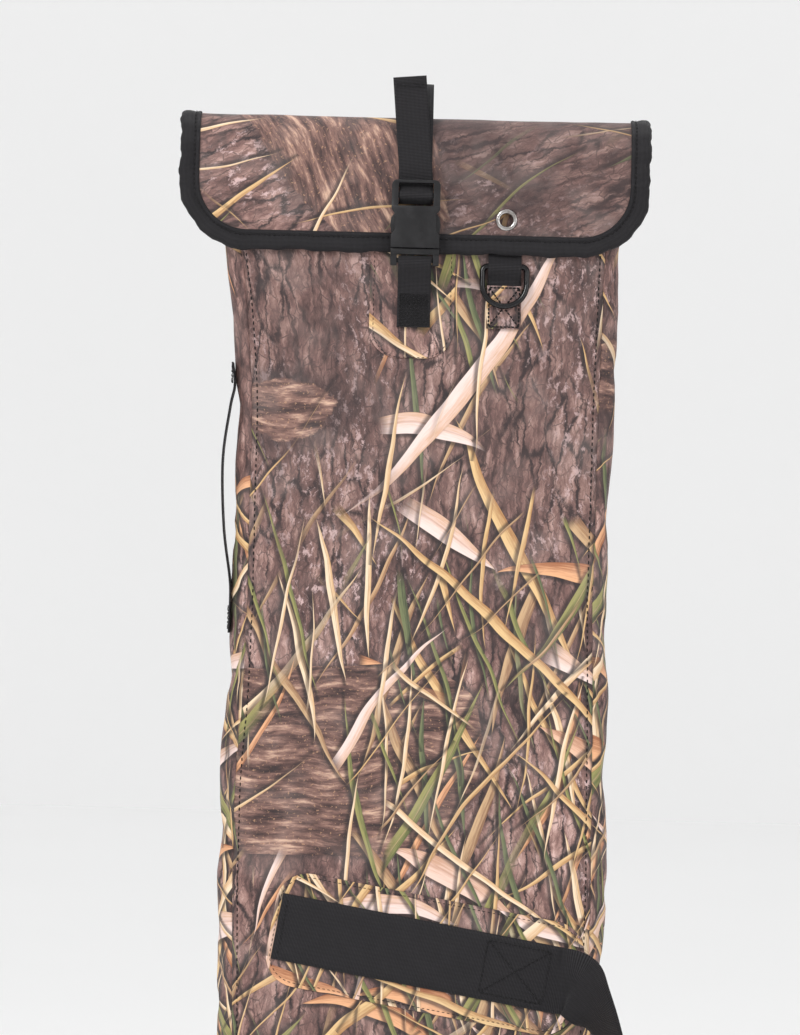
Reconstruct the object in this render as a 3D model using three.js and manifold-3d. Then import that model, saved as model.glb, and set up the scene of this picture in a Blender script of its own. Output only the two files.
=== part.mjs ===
// A padded, flap-topped sleeve for a long gun: fabric shell, foam, lining, webbing and buckle.
// Millimetres. X is to the right, Y runs from the front to the back, and Z is up.
// The origin is on the fold of the closed flap, at the closure strap. Depths are measured down from there.
import * as THREE from 'three';
import { mergeVertices } from 'three/addons/utils/BufferGeometryUtils.js';
import Module from 'manifold-3d';

const wasm = await Module();
wasm.setup();

// ---- Driving dimensions -------------------------------------------------------------------------

const GAP = 0.3;
const CASE_LENGTH = 1372;

// Left and right edges of the case, as [depth below the fold, x]
const LEFT_EDGE = [[0, -146], [104, -141], [138, -135], [213, -129], [365, -129], [440, -130.5], [500, -135],
  [560, -135], [690, -132], [900, -126], [1100, -117], [CASE_LENGTH, -102]];
const RIGHT_EDGE = [[0, 161], [104, 157], [213, 155], [365, 154], [440, 156], [560, 158], [690, 157],
  [900, 151], [1100, 142], [CASE_LENGTH, 126]];
const SIDE_ROUNDING = 30;
const END_CORNER = 45;

// Half thickness of the case: pinched mouth, flat neck, full body, flat sewn end
const MOUTH_HALF = 7;
const NECK_HALF = 16;
const BODY_HALF = 27;
const END_HALF = 4;

const MOUTH_TOP = 8.8;
const HEM_FOOT = MOUTH_TOP - GAP + 8;
const SHELL = 1;
const FOAM = 9;
const LINING = 0.8;
const FOAM_TOP = 62;
const FOAM_BOTTOM = 1255;
const LINING_BOTTOM = 1270;
const SEAM_ANGLE = 52;
const SEAM_GAP_ANGLE = 2;

// Flap, measured as layers inward from its outer surface
const FLAP_LEFT = -174.6;
const FLAP_RIGHT = 176.3;
const FLAP_FRONT = 21.6;
const FLAP_RISE = 30;
const FLAP_BACK_END = 32.4;
const FLAP_BOTTOM = 102;
const FLAP_CORNER = 50;
const FLAP_CLOTH = 0.9;
const BINDING_WIDTH = 13.5;
const BINDING_CLOTH = 1;
const HINGE_BAND_TOP = 34;

const WEBBING = 1.4;
const NARROW = 25;
const SLING_WIDTH = 50;
const SLING_WEBBING = 1.6;

// Buckle. "f" is the distance in front of the flat neck of the case
const BUCKLE_X = 2;
const BUCKLE_HALF = 18.2;
const SOCKET_TOP = 49;
const SOCKET_BOTTOM = 100;
const PLATE_TOP = 68.7;
const SOCKET_BACK = 7.4;
const SOCKET_FRONT = 17.8;
const PLUG_BOTTOM = 113.2;
const BAR_DEPTH = 60.5;
const PLUG_BAR_DEPTH = 109.3;
const PLUG_BAR_F = 12.5;

const GROMMET = { x: 70.3, depth: 76.8, outer: 8.1, hole: 4.8, barrel: 5.2, clear: 5.7 };
const RING = { x: 70, depth: 111.5, f: 2.8, tilt: 7, wire: 2.2 };
const RING_LINE = { halfWidth: 16.7, corner: 4, side: 13.3, drop: 30.3 };
const SLING_SLOPE = 9.6;
const SLING_PIVOT_X = 118.2;
const UPPER_SLING_DEPTH = 644.8;
const LOWER_SLING_DEPTH = 1133;

// ---- Materials ----------------------------------------------------------------------------------

const material = (color, roughness, metalness = 0) => (
  new THREE.MeshStandardMaterial({ color, roughness, metalness }));
const camo = material(0x786458, 0.6);
const camoPatch = material(0x6a5a4c, 0.6);
const foamCell = material(0x3a3c3e, 0.9);
const liningCloth = material(0x2c2c2e, 0.7);
const bindingTape = material(0x262328, 0.75);
const webbing = material(0x28262a, 0.7);
const moulded = material(0x1d1c1f, 0.4);
const enamel = material(0x161518, 0.3, 0.4);
const nickel = material(0xb8b6b4, 0.25, 1);

// ---- Closed solids from points ------------------------------------------------------------------

const object = new THREE.Group();
const radians = THREE.MathUtils.degToRad;
const { lerp, smoothstep } = THREE.MathUtils;

function solid(points, triangles) {
  const geometry = new THREE.BufferGeometry();
  geometry.setAttribute('position', new THREE.Float32BufferAttribute(points.flat(), 3));
  let volume = 0;
  for (const [a, b, c] of triangles) {
    const [p, q, r] = [points[a], points[b], points[c]].map((v) => new THREE.Vector3(...v));
    volume += p.dot(q.cross(r));
  }
  geometry.setIndex(triangles.flatMap(([a, b, c]) => (volume > 0 ? [a, b, c] : [a, c, b])));
  return geometry;
}

// A closed solid through a row of sections. Each section is a ring of points; cap is the ring's flat outline.
function loft(sections, cap, closed = false) {
  const count = sections[0].length;
  const triangles = [];
  const last = closed ? sections.length : sections.length - 1;
  for (let i = 0; i < last; i += 1) {
    const here = i * count;
    const next = ((i + 1) % sections.length) * count;
    for (let k = 0; k < count; k += 1) {
      const m = (k + 1) % count;
      triangles.push([here + k, here + m, next + m], [here + k, next + m, next + k]);
    }
  }
  if (!closed) {
    const flat = cap.map(([a, b]) => new THREE.Vector2(a, b));
    const clockwise = THREE.ShapeUtils.isClockWise(flat);
    const end = (sections.length - 1) * count;
    for (const face of THREE.ShapeUtils.triangulateShape(flat, [])) {
      const [a, b, c] = clockwise ? [face[0], face[2], face[1]] : face;
      triangles.push([a, c, b], [end + a, end + b, end + c]);
    }
  }
  return solid(sections.flat(), triangles);
}

// A sheet with thickness: the same grid of points on its two faces, joined along its four edges
function sheet(columns, rows, face, depths) {
  const points = [];
  for (const depth of depths) {
    for (const row of rows) points.push(...columns.map((column) => face(column, row, depth)));
  }
  const wide = columns.length;
  const layer = wide * rows.length;
  const triangles = [];
  const quad = (a, b, c, d) => triangles.push([a, b, c], [a, c, d]);
  for (let r = 0; r + 1 < rows.length; r += 1) {
    for (let c = 0; c + 1 < wide; c += 1) {
      const k = r * wide + c;
      quad(k, k + 1, k + wide + 1, k + wide);
      quad(layer + k, layer + k + wide, layer + k + wide + 1, layer + k + 1);
    }
    const [start, end] = [r * wide, r * wide + wide - 1];
    quad(start, start + wide, layer + start + wide, layer + start);
    quad(end, layer + end, layer + end + wide, end + wide);
  }
  const foot = layer - wide;
  for (let c = 0; c + 1 < wide; c += 1) {
    quad(c, layer + c, layer + c + 1, c + 1);
    quad(foot + c, foot + c + 1, layer + foot + c + 1, layer + foot + c);
  }
  return solid(points, triangles);
}

function toManifold(geometry) {
  const bare = geometry.clone();
  bare.deleteAttribute('normal');
  bare.deleteAttribute('uv');
  const merged = mergeVertices(bare, 1e-4);
  return new wasm.Manifold(new wasm.Mesh({
    numProp: 3,
    vertProperties: new Float32Array(merged.attributes.position.array),
    triVerts: new Uint32Array(merged.index.array),
  }));
}

function fromManifold(body) {
  const mesh = body.getMesh();
  const geometry = new THREE.BufferGeometry();
  geometry.setAttribute('position', new THREE.BufferAttribute(mesh.vertProperties, 3));
  geometry.setIndex(new THREE.BufferAttribute(mesh.triVerts, 1));
  return geometry;
}

const join = (...geometries) => fromManifold(geometries.map(toManifold).reduce((a, b) => a.add(b)));
const cut = (geometry, tool) => fromManifold(toManifold(geometry).subtract(toManifold(tool)));

function add(name, geometry, look) {
  const mesh = new THREE.Mesh(geometry, look);
  mesh.name = name;
  object.add(mesh);
  return mesh;
}

// ---- Building blocks ----------------------------------------------------------------------------

// A box on the buckle's own axes: x from its centre line, depth below the fold, f in front of the neck
function block(x, depth, f) {
  const geometry = new THREE.BoxGeometry(x[1] - x[0], f[1] - f[0], depth[1] - depth[0]);
  const [y, z] = [-NECK_HALF - (f[0] + f[1]) / 2, -(depth[0] + depth[1]) / 2];
  return geometry.translate(BUCKLE_X + (x[0] + x[1]) / 2, y, z);
}

// A plate cut to an outline of [x, depth] points, between two distances f
function plate(outline, f, centre = BUCKLE_X) {
  const shape = new THREE.Shape(outline.map(([x, depth]) => new THREE.Vector2(centre + x, -depth)));
  const geometry = new THREE.ExtrudeGeometry(shape, { depth: f[1] - f[0], bevelEnabled: false });
  return geometry.rotateX(Math.PI / 2).translate(0, -NECK_HALF - f[0], 0);
}

// The two sides of a line with thickness: at each point, one place on either side of it
function thickLine(points, thickness) {
  return points.map((point, i) => {
    const before = points[Math.max(i - 1, 0)];
    const after = points[Math.min(i + 1, points.length - 1)];
    const along = new THREE.Vector2().subVectors(after, before).normalize();
    const across = new THREE.Vector2(-along.y, along.x).multiplyScalar(thickness / 2);
    return [point.clone().add(across), point.clone().sub(across)];
  });
}

const RECTANGLE = [[1, 1], [-1, 1], [-1, -1], [1, -1]];

// Webbing seen from its side: a smooth line of [f, depth] points, made as wide as the webbing
function strap(line, count, centre, thickness = WEBBING) {
  const curve = new THREE.SplineCurve(line.map(([f, depth]) => new THREE.Vector2(-NECK_HALF - f, -depth)));
  const sections = thickLine(curve.getPoints(count), thickness).map(([a, b]) => (
    RECTANGLE.map(([side, face]) => {
      const { x: y, y: z } = face > 0 ? a : b;
      return [centre + (side * NARROW) / 2, y, z];
    })));
  return loft(sections, RECTANGLE);
}

function roundedOutline(width, height, radius, steps = 4) {
  const outline = [];
  for (const [sx, sy, from] of [[1, 1, 0], [-1, 1, 90], [-1, -1, 180], [1, -1, 270]]) {
    for (let i = 0; i <= steps; i += 1) {
      const angle = radians(from + (90 * i) / steps);
      outline.push([sx * (width / 2 - radius) + radius * Math.cos(angle),
        sy * (height / 2 - radius) + radius * Math.sin(angle)]);
    }
  }
  return outline;
}

// ---- The shape of the case ----------------------------------------------------------------------

function along(knots, depth) {
  const next = knots.findIndex(([d]) => d >= depth);
  if (next === 0) return knots[0][1];
  if (next < 0) return knots.at(-1)[1];
  const [[d0, x0], [d1, x1]] = [knots[next - 1], knots[next]];
  return lerp(x0, x1, (depth - d0) / (d1 - d0));
}

function endRounding(depth) {
  const into = Math.max(0, depth - (CASE_LENGTH - END_CORNER));
  return END_CORNER - Math.sqrt(Math.max(0, END_CORNER ** 2 - into ** 2));
}

function halfThickness(depth) {
  const neck = lerp(MOUTH_HALF, NECK_HALF, smoothstep(depth, 6, 40));
  const body = (BODY_HALF - NECK_HALF) * smoothstep(depth, 184, 310);
  const end = (BODY_HALF - END_HALF) * smoothstep(depth, 1180, 1366);
  return neck + body - end;
}

// Places on a section: an angle on a rounded side (-90 front, 90 back), or a share of a flat face
const onSide = (side, angle) => ({ side, angle: radians(angle) });
const onFlat = (share, face) => ({ side: 0, share, face });

function casePoint(place, depth, inset) {
  const round = SIDE_ROUNDING - inset;
  const half = halfThickness(depth) - inset;
  const left = along(LEFT_EDGE, depth) + endRounding(depth) + inset + round;
  const right = along(RIGHT_EDGE, depth) - endRounding(depth) - inset - round;
  if (place.side === 0) return [lerp(left, right, place.share), place.face * half, -depth];
  const reach = round * Math.cos(place.angle);
  return [place.side < 0 ? left - reach : right + reach, half * Math.sin(place.angle), -depth];
}

const steps = (from, to, count) => Array.from({ length: count + 1 }, (_, i) => lerp(from, to, i / count));

function panelPlaces(face) {
  const left = steps(SEAM_ANGLE, 90, 2).map((angle) => onSide(-1, face * angle));
  const right = steps(90, SEAM_ANGLE, 2).map((angle) => onSide(1, face * angle));
  return [...left, ...steps(0, 1, 4).slice(1, -1).map((share) => onFlat(share, face)), ...right];
}

function gussetPlaces(side) {
  const edge = SEAM_ANGLE - SEAM_GAP_ANGLE;
  return steps(-edge, edge, 4).map((angle) => onSide(side, angle));
}

const ROUND_TRIP = [...panelPlaces(-1), ...gussetPlaces(1), ...panelPlaces(1).reverse(),
  ...gussetPlaces(-1).reverse()];

function depths(top, bottom) {
  const stops = [HEM_FOOT, 24, 32, 45, FOAM_TOP - 2, 80, 120, 184, 205, 235, 270, 310, 365, 440, 500, 560,
    690, 800, 900, 1000, 1100, 1180, 1215, 1255, 1290, 1327, 1345, 1358];
  return [top, ...stops.filter((d) => d > top + 3 && d < bottom - 4), bottom];
}

// ---- Shell, foam, lining ------------------------------------------------------------------------

const PIECES = {
  front: panelPlaces(-1), back: panelPlaces(1), left: gussetPlaces(-1), right: gussetPlaces(1),
};
const SHELL_NAMES = {
  front: 'front_panel', back: 'back_panel', left: 'left_gusset', right: 'right_gusset',
};
const SHELL_BOTTOM = CASE_LENGTH - 4;
const FOAM_DEPTH = SHELL + GAP;
const LINING_GAP = 0.9;
const LINING_DEPTH = FOAM_DEPTH + FOAM + LINING_GAP;

for (const [side, places] of Object.entries(PIECES)) {
  add(SHELL_NAMES[side], sheet(places, depths(MOUTH_TOP, SHELL_BOTTOM), casePoint, [0, SHELL]), camo);
  const foam = sheet(places, depths(FOAM_TOP, FOAM_BOTTOM), casePoint, [FOAM_DEPTH, FOAM_DEPTH + FOAM]);
  add(`${side}_foam`, foam, foamCell);
}

// The lining lies against the shell at the mouth and against the foam below it, and is closed at the bottom
function liningPoint(place, depth, inset) {
  const atMouth = SHELL + LINING_GAP;
  const pulledIn = (LINING_DEPTH - atMouth) * smoothstep(depth, 30, FOAM_TOP - 2);
  return casePoint(place, depth, atMouth + pulledIn + inset);
}

function liningSleeve() {
  const rows = depths(MOUTH_TOP, LINING_BOTTOM);
  const outside = rows.map((d) => ROUND_TRIP.map((place) => liningPoint(place, d, 0)));
  const floor = LINING_BOTTOM - LINING;
  const inside = rows.map((d) => ROUND_TRIP.map((place) => liningPoint(place, Math.min(d, floor), LINING)));
  const count = ROUND_TRIP.length;
  const triangles = [];
  const wall = [...outside.reverse(), ...inside];
  for (let i = 0; i + 1 < wall.length; i += 1) {
    for (let k = 0; k < count; k += 1) {
      const [a, b] = [i * count + k, i * count + ((k + 1) % count)];
      triangles.push([a, b, b + count], [a, b + count, a + count]);
    }
  }
  const foot = (wall.length - 1) * count;
  const outline = outside[0].map(([x, y]) => new THREE.Vector2(x, y));
  const turned = THREE.ShapeUtils.isClockWise(outline);
  for (const face of THREE.ShapeUtils.triangulateShape(outline, [])) {
    const [a, b, c] = turned ? [face[0], face[2], face[1]] : face;
    triangles.push([a, c, b], [foot + a, foot + b, foot + c]);
  }
  return solid(wall.flat(), triangles);
}
add('lining', liningSleeve(), liningCloth);

// Hem over the mouth's edge, a channel all the way round
const HEM_GAP = 0.5;
const CHANNEL_LIP = 1.5;
function mouthHem() {
  const top = MOUTH_TOP - GAP;
  const inner = SHELL + LINING_GAP + LINING + HEM_GAP;
  const ring = [[-CHANNEL_LIP, top - 1], [inner + 1, top - 1], [inner + 1, HEM_FOOT], [inner, HEM_FOOT],
    [inner, top], [-HEM_GAP, top], [-HEM_GAP, HEM_FOOT], [-CHANNEL_LIP, HEM_FOOT]];
  const sections = ROUND_TRIP.map((place) => ring.map(([inset, depth]) => casePoint(place, depth, inset)));
  return loft(sections, null, true);
}
add('mouth_hem', mouthHem(), bindingTape);

// Binding folded round the flat lower end, following its rounded corners
function endBinding() {
  const route = [];
  const [top, foot] = [CASE_LENGTH - END_CORNER, SHELL_BOTTOM + GAP];
  const angleAtFoot = Math.asin((foot - top) / END_CORNER);
  for (const side of [-1, 1]) {
    const arc = steps(0, angleAtFoot, 5).map((angle) => {
      const depth = top + END_CORNER * Math.sin(angle);
      const edge = along(side < 0 ? LEFT_EDGE : RIGHT_EDGE, depth) - side * endRounding(depth);
      return { x: edge, depth, nx: side * Math.cos(angle), nd: Math.sin(angle) };
    });
    route.push(...(side < 0 ? arc : arc.reverse()));
  }
  const ring = (half) => [[1.5, half + 1.3], [-9, half + 1.3], [-9, half + GAP], [0.4, half + GAP],
    [0.4, -half - GAP], [-9, -half - GAP], [-9, -half - 1.3], [1.5, -half - 1.3]];
  const sections = route.map(({ x, depth, nx, nd }) => {
    const half = halfThickness(depth - 9);
    return ring(half).map(([out, y]) => [x + nx * out, y, -(depth + nd * out)]);
  });
  return loft(sections, ring(END_HALF));
}
add('end_binding', endBinding(), bindingTape);

// ---- Flap ---------------------------------------------------------------------------------------

const HALF_OVAL = 82;
const BACK_RUN = FLAP_BACK_END - FLAP_RISE;
const FLAP_LENGTH = BACK_RUN + HALF_OVAL + FLAP_BOTTOM - FLAP_RISE;

// A point of the flap: x, the run along its profile from the hinge, and how far in from its outer surface
function flapPoint(x, run, inset) {
  if (run < BACK_RUN) return [x, FLAP_FRONT - inset, -FLAP_BACK_END + run];
  if (run > BACK_RUN + HALF_OVAL) return [x, -FLAP_FRONT + inset, -FLAP_RISE - (run - BACK_RUN - HALF_OVAL)];
  const angle = (Math.PI * (run - BACK_RUN)) / HALF_OVAL;
  return [x, (FLAP_FRONT - inset) * Math.cos(angle), -FLAP_RISE + (FLAP_RISE - inset) * Math.sin(angle)];
}

const cornerStart = FLAP_LENGTH - FLAP_CORNER;
const cornerIn = (run) => {
  const into = Math.max(0, run - cornerStart);
  return FLAP_CORNER - Math.sqrt(Math.max(0, FLAP_CORNER ** 2 - into ** 2));
};
const cornerRuns = steps(0, 90, 6).map((angle) => cornerStart + FLAP_CORNER * Math.sin(radians(angle)));
const frontStart = BACK_RUN + HALF_OVAL;
const flapRuns = [0, ...steps(BACK_RUN, frontStart, 12), ...cornerRuns.filter((r) => r > frontStart + 2)];

function flapSheet(outer, inner) {
  const face = (share, run, inset) => flapPoint(
    lerp(FLAP_LEFT + cornerIn(run), FLAP_RIGHT - cornerIn(run), share),
    run,
    inset,
  );
  const hole = new THREE.CylinderGeometry(GROMMET.clear, GROMMET.clear, 12, 20);
  hole.translate(GROMMET.x, -FLAP_FRONT, -GROMMET.depth);
  return cut(sheet(steps(0, 1, 6), flapRuns, face, [outer, inner]), hole);
}
add('flap_outer', flapSheet(0, FLAP_CLOTH), camo);
add('flap_lining', flapSheet(FLAP_CLOTH + GAP, 2 * FLAP_CLOTH + GAP), liningCloth);

function flapBinding() {
  const sideRuns = flapRuns.filter((run) => run < cornerStart);
  const route = sideRuns.map((run) => ({ x: FLAP_LEFT, run, nx: -1, nr: 0 }));
  for (const [side, edge, turn] of [[-1, FLAP_LEFT, steps(0, 90, 6)], [1, FLAP_RIGHT, steps(90, 0, 6)]]) {
    for (const angle of turn.map(radians)) {
      const [nx, nr] = [side * Math.cos(angle), Math.sin(angle)];
      route.push({ x: edge + FLAP_CORNER * (nx - side), run: cornerStart + FLAP_CORNER * nr, nx, nr });
    }
  }
  route.push(...sideRuns.toReversed().map((run) => ({ x: FLAP_RIGHT, run, nx: 1, nr: 0 })));
  const back = 2 * FLAP_CLOTH + 2 * GAP;
  const ring = [[1.4, -GAP - BINDING_CLOTH], [-BINDING_WIDTH, -GAP - BINDING_CLOTH], [-BINDING_WIDTH, -GAP],
    [GAP, -GAP], [GAP, back], [-BINDING_WIDTH, back], [-BINDING_WIDTH, back + BINDING_CLOTH],
    [1.4, back + BINDING_CLOTH]];
  const sections = route.map(({ x, run, nx, nr }) => ring.map(([out, inset]) => (
    flapPoint(x + nx * out, run + nr * out, inset))));
  return loft(sections, ring);
}
add('flap_binding', flapBinding(), bindingTape);

// The flap's sewn end on the back of the case
const HINGE_BAND_Y = NECK_HALF + 0.4;
const hingeBand = new THREE.BoxGeometry(292, 1.8, 24);
add('hinge_band', hingeBand.translate(7, HINGE_BAND_Y + 0.9, -HINGE_BAND_TOP - 12), camo);

// ---- Grommet ------------------------------------------------------------------------------------

// A ring round the grommet's axis, from a closed profile of [radius, f] points
function grommetRing(profile) {
  const closed = [...profile, profile[0]].map(([radius, f]) => new THREE.Vector2(radius, f));
  const geometry = new THREE.LatheGeometry(closed, 24);
  return geometry.rotateX(Math.PI).translate(GROMMET.x, -NECK_HALF, -GROMMET.depth);
}
const flapOuterF = FLAP_FRONT - NECK_HALF;
const flapInnerF = flapOuterF - 2 * FLAP_CLOTH - GAP;
add('grommet_eyelet', grommetRing([[GROMMET.hole, flapInnerF - 1.2], [GROMMET.barrel, flapInnerF - 1.2],
  [GROMMET.barrel, flapOuterF + GAP], [GROMMET.outer, flapOuterF + GAP],
  [GROMMET.outer - 0.5, flapOuterF + 0.9],
  [GROMMET.outer - 1.8, flapOuterF + 1.5], [GROMMET.hole + 0.6, flapOuterF + 1.2],
  [GROMMET.hole, flapOuterF + 0.4]]), nickel);
add('grommet_washer', grommetRing([[GROMMET.barrel + GAP, flapInnerF - 1.1], [GROMMET.outer, flapInnerF - 1.1],
  [GROMMET.outer, flapInnerF - GAP], [GROMMET.barrel + GAP, flapInnerF - GAP]]), nickel);

// ---- Closure strap and buckle -------------------------------------------------------------------

const strapF = flapOuterF + GAP + WEBBING / 2;
const backF = -2 * NECK_HALF - strapF;
add('closure_strap', strap([[backF, FLAP_BACK_END], [backF + 0.1, 20], [backF + 3, -2], [backF + 13.5, -21],
  [-NECK_HALF, -25.3], [strapF - 13.5, -21], [strapF - 3, -2], [strapF - 0.1, 20], [strapF, 32], [strapF, 54]],
48, 1), webbing);
add('strap_anchor', strap([[-2 * NECK_HALF - 3.6, HINGE_BAND_TOP], [-2 * NECK_HALF - 3.6, 96]], 1, 1), webbing);

// The free tail lies over the strap, then goes round the adjusting bar. It leans to the left as it rises
const tailF = strapF + WEBBING + 0.4;
const TAIL_LEAN = 0.088;
const tail = strap([[tailF, -28.8], [tailF, 0], [tailF, 24], [tailF, 38], [tailF, 46], [tailF, 51.3], [9.6, 54],
  [12.3, 56.6], [14.4, 58.4], [15, BAR_DEPTH], [14.4, 62.6], [12.3, 64.4], [9.8, 66.6]], 52, BUCKLE_X);
const tailPoints = tail.attributes.position;
for (let i = 0; i < tailPoints.count; i += 1) {
  tailPoints.setX(i, tailPoints.getX(i) - TAIL_LEAN * Math.max(0, tailPoints.getZ(i) + 50));
}
add('strap_tail', tail, webbing);

function socket() {
  const half = BUCKLE_HALF;
  const rail = 5;
  const frameF = [9.4, 15.8];
  const wallFoot = 71;
  const frameHeight = 30;
  const blank = roundedOutline(2 * half, frameHeight, 4.2, 6).map(([x, y]) => [x, SOCKET_TOP + frameHeight / 2 + y]);
  const through = [frameF[0] - 1, frameF[1] + 1];
  const window = block([-half + rail, half - rail], [SOCKET_TOP + 2.3, PLATE_TOP + 1], through);
  const below = block([-half - 1, half + 1], [PLATE_TOP + 1, SOCKET_TOP + frameHeight + 1], through);
  const frontF = [SOCKET_FRONT - 2.2, SOCKET_FRONT];
  const waist = half - 2.8;
  const outline = [[-half, PLATE_TOP], [half, PLATE_TOP], [half, 71.5], [waist, 75], [waist, 87],
    [half, 90.5], [half, SOCKET_BOTTOM], [-half, SOCKET_BOTTOM], [-half, 90.5], [-waist, 87], [-waist, 75],
    [-half, 71.5]];
  return join(
    cut(cut(plate(blank, frameF), window), below),
    block([-half + 1, half - 1], [BAR_DEPTH - 1.9, BAR_DEPTH + 1.9], [11.2, 13.4]),
    block([-half, half], [PLATE_TOP, wallFoot], [SOCKET_BACK, SOCKET_FRONT]),
    plate(outline, frontF),
    block([-half, -half + 2.2], [90.5, SOCKET_BOTTOM], [14, SOCKET_FRONT]),
    block([half - 2.2, half], [90.5, SOCKET_BOTTOM], [14, SOCKET_FRONT]),
  );
}
add('buckle_socket', socket(), moulded);

function plug() {
  const half = BUCKLE_HALF;
  const leg = 4.8;
  return join(
    block([-half, half], [SOCKET_BOTTOM + 0.4, 105], [8.8, 15.8]),
    block([-half, -half + leg], [104, PLUG_BOTTOM], [9.6, 15]),
    block([half - leg, half], [104, PLUG_BOTTOM], [9.6, 15]),
    block([-half + 1, half - 1], [PLUG_BAR_DEPTH - 1.7, PLUG_BAR_DEPTH + 1.7],
      [PLUG_BAR_F - 1.5, PLUG_BAR_F + 1.5]),
    block([-4.5, 4.5], [76, 101], [10.3, 13.3]),
  );
}
add('buckle_plug', plug(), moulded);

const PRONG_ROOT = SOCKET_BOTTOM + 0.1;
const PRONG = [[11.8, PRONG_ROOT], [9.2, PRONG_ROOT], [9, 78], [9.6, 74.6], [12, 73], [15.5, 73.6], [18.2, 77.5],
  [18.9, 83], [18.1, 88.6], [12.2, 89.4], [11.9, 92]];
for (const [name, side] of [['left_prong', -1], ['right_prong', 1]]) {
  add(name, plate(PRONG.map(([x, depth]) => [side * x, depth]), [9.8, 13.6]), moulded);
}

// The lower webbing is one length folded round the plug's bar, with both ends sewn to the case
add('lower_buckle_strap', strap([[3.9, 158.8], [3.9, 146], [3.9, 134], [9, 122], [14.5, 114], [15.8, 110.3],
  [14.8, 107.4], [PLUG_BAR_F, 106.2], [10.2, 107.4], [9.2, 110.3], [7.8, 115], [4, 125], [2.1, 134], [2.1, 146],
  [2.1, 158.8]], 46, BUCKLE_X + 0.3), webbing);

function patchOutline(left, right, top, bottom, radius) {
  const outline = [[left, top]];
  for (const [side, edge, turn] of [[-1, left, steps(0, 90, 5)], [1, right, steps(90, 0, 5)]]) {
    for (const angle of turn.map(radians)) {
      outline.push([edge + side * radius * (Math.cos(angle) - 1), bottom - radius + radius * Math.sin(angle)]);
    }
  }
  return [...outline, [right, top]];
}
add('buckle_patch', plate(patchOutline(-31, 33, 98, 182, 22), [GAP, 1.1]), camoPatch);

// ---- D-ring -------------------------------------------------------------------------------------

add('d_ring_tab', strap([[1.2, 84], [1.2, 96], [1.3, 103], [4, 107], [6, 110.6], [6, 113.5], [4, 117.5],
  [1.4, 122], [1.2, 128], [1.2, 155]], 48, RING.x, 1.3), webbing);
add('d_ring_patch', plate([[-13, 126], [13, 126], [13, 158.5], [-13, 158.5]], [2.1, 3], RING.x), camoPatch);

function dRing() {
  const { halfWidth, corner, side, drop } = RING_LINE;
  const route = [];
  const turn = (cx, cz, rx, rz, from, to, count) => {
    for (const angle of steps(from, to, count).map(radians)) {
      route.push(new THREE.Vector2(cx + rx * Math.cos(angle), cz + rz * Math.sin(angle)));
    }
  };
  turn(halfWidth - corner, -corner, corner, corner, 90, 0, 3);
  turn(0, -side, halfWidth, drop - side, 0, -180, 14);
  turn(corner - halfWidth, -corner, corner, corner, 180, 90, 3);
  const sections = route.map((point, i) => {
    const after = route[(i + 1) % route.length];
    const before = route[(i + route.length - 1) % route.length];
    const tangent = new THREE.Vector2().subVectors(after, before).normalize();
    return steps(0, 315, 7).map(radians).map((angle) => {
      const out = RING.wire * Math.cos(angle);
      return [point.x - tangent.y * out, RING.wire * Math.sin(angle), point.y + tangent.x * out];
    });
  });
  return loft(sections, null, true);
}
const ring = add('d_ring', dRing(), enamel);
ring.position.set(RING.x, -NECK_HALF - RING.f, -RING.depth);
ring.rotation.x = -radians(RING.tilt);

// ---- Sling --------------------------------------------------------------------------------------

const FACE = -BODY_HALF;
const SLING_Y = FACE - 1.6 - SLING_WEBBING / 2;

// The patch and the sewn end of one sling anchor, left of the pivot line. side is 1 where it rises to the left
function slingAnchor(name, depth, side, length) {
  const slope = radians(side * SLING_SLOPE);
  const group = new THREE.Group();
  group.position.set(SLING_PIVOT_X, 0, -depth);
  group.rotation.y = slope;
  const pieces = [
    [`sling_patch_${name}`, roundedOutline(length + 26, 86, 24), FACE - GAP, 0.9, camoPatch, 8],
    [`sling_anchor_${name}`, roundedOutline(length, SLING_WIDTH, 0.5, 1), SLING_Y + SLING_WEBBING / 2,
      SLING_WEBBING, webbing, -1.2],
  ];
  for (const [label, outline, y, thickness, look, reach] of pieces) {
    const shape = new THREE.Shape(outline.map(([x, z]) => new THREE.Vector2(x, z)));
    const geometry = new THREE.ExtrudeGeometry(shape, { depth: thickness, bevelEnabled: false });
    const mesh = new THREE.Mesh(geometry.rotateX(Math.PI / 2), look);
    mesh.name = label;
    mesh.position.set(reach - length / 2, y, 0);
    group.add(mesh);
  }
  object.add(group);
}
slingAnchor('upper', UPPER_SLING_DEPTH, 1, 209);
slingAnchor('lower', LOWER_SLING_DEPTH, -1, 178);

// The free sling between its anchors: [x, y, depth, degrees turned from flat to edge-on]
const SLING_TOP = [[123.8, SLING_Y, 645.6, 0], [136, -37, 648, 14], [149, -52, 662, 48], [160, -56, 682, 66],
  [173, -55, 715, 74], [195, -53, 770, 80], [217, -52, 830, 84]];
const SLING_MIDDLE = (UPPER_SLING_DEPTH + LOWER_SLING_DEPTH) / 2;

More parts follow.
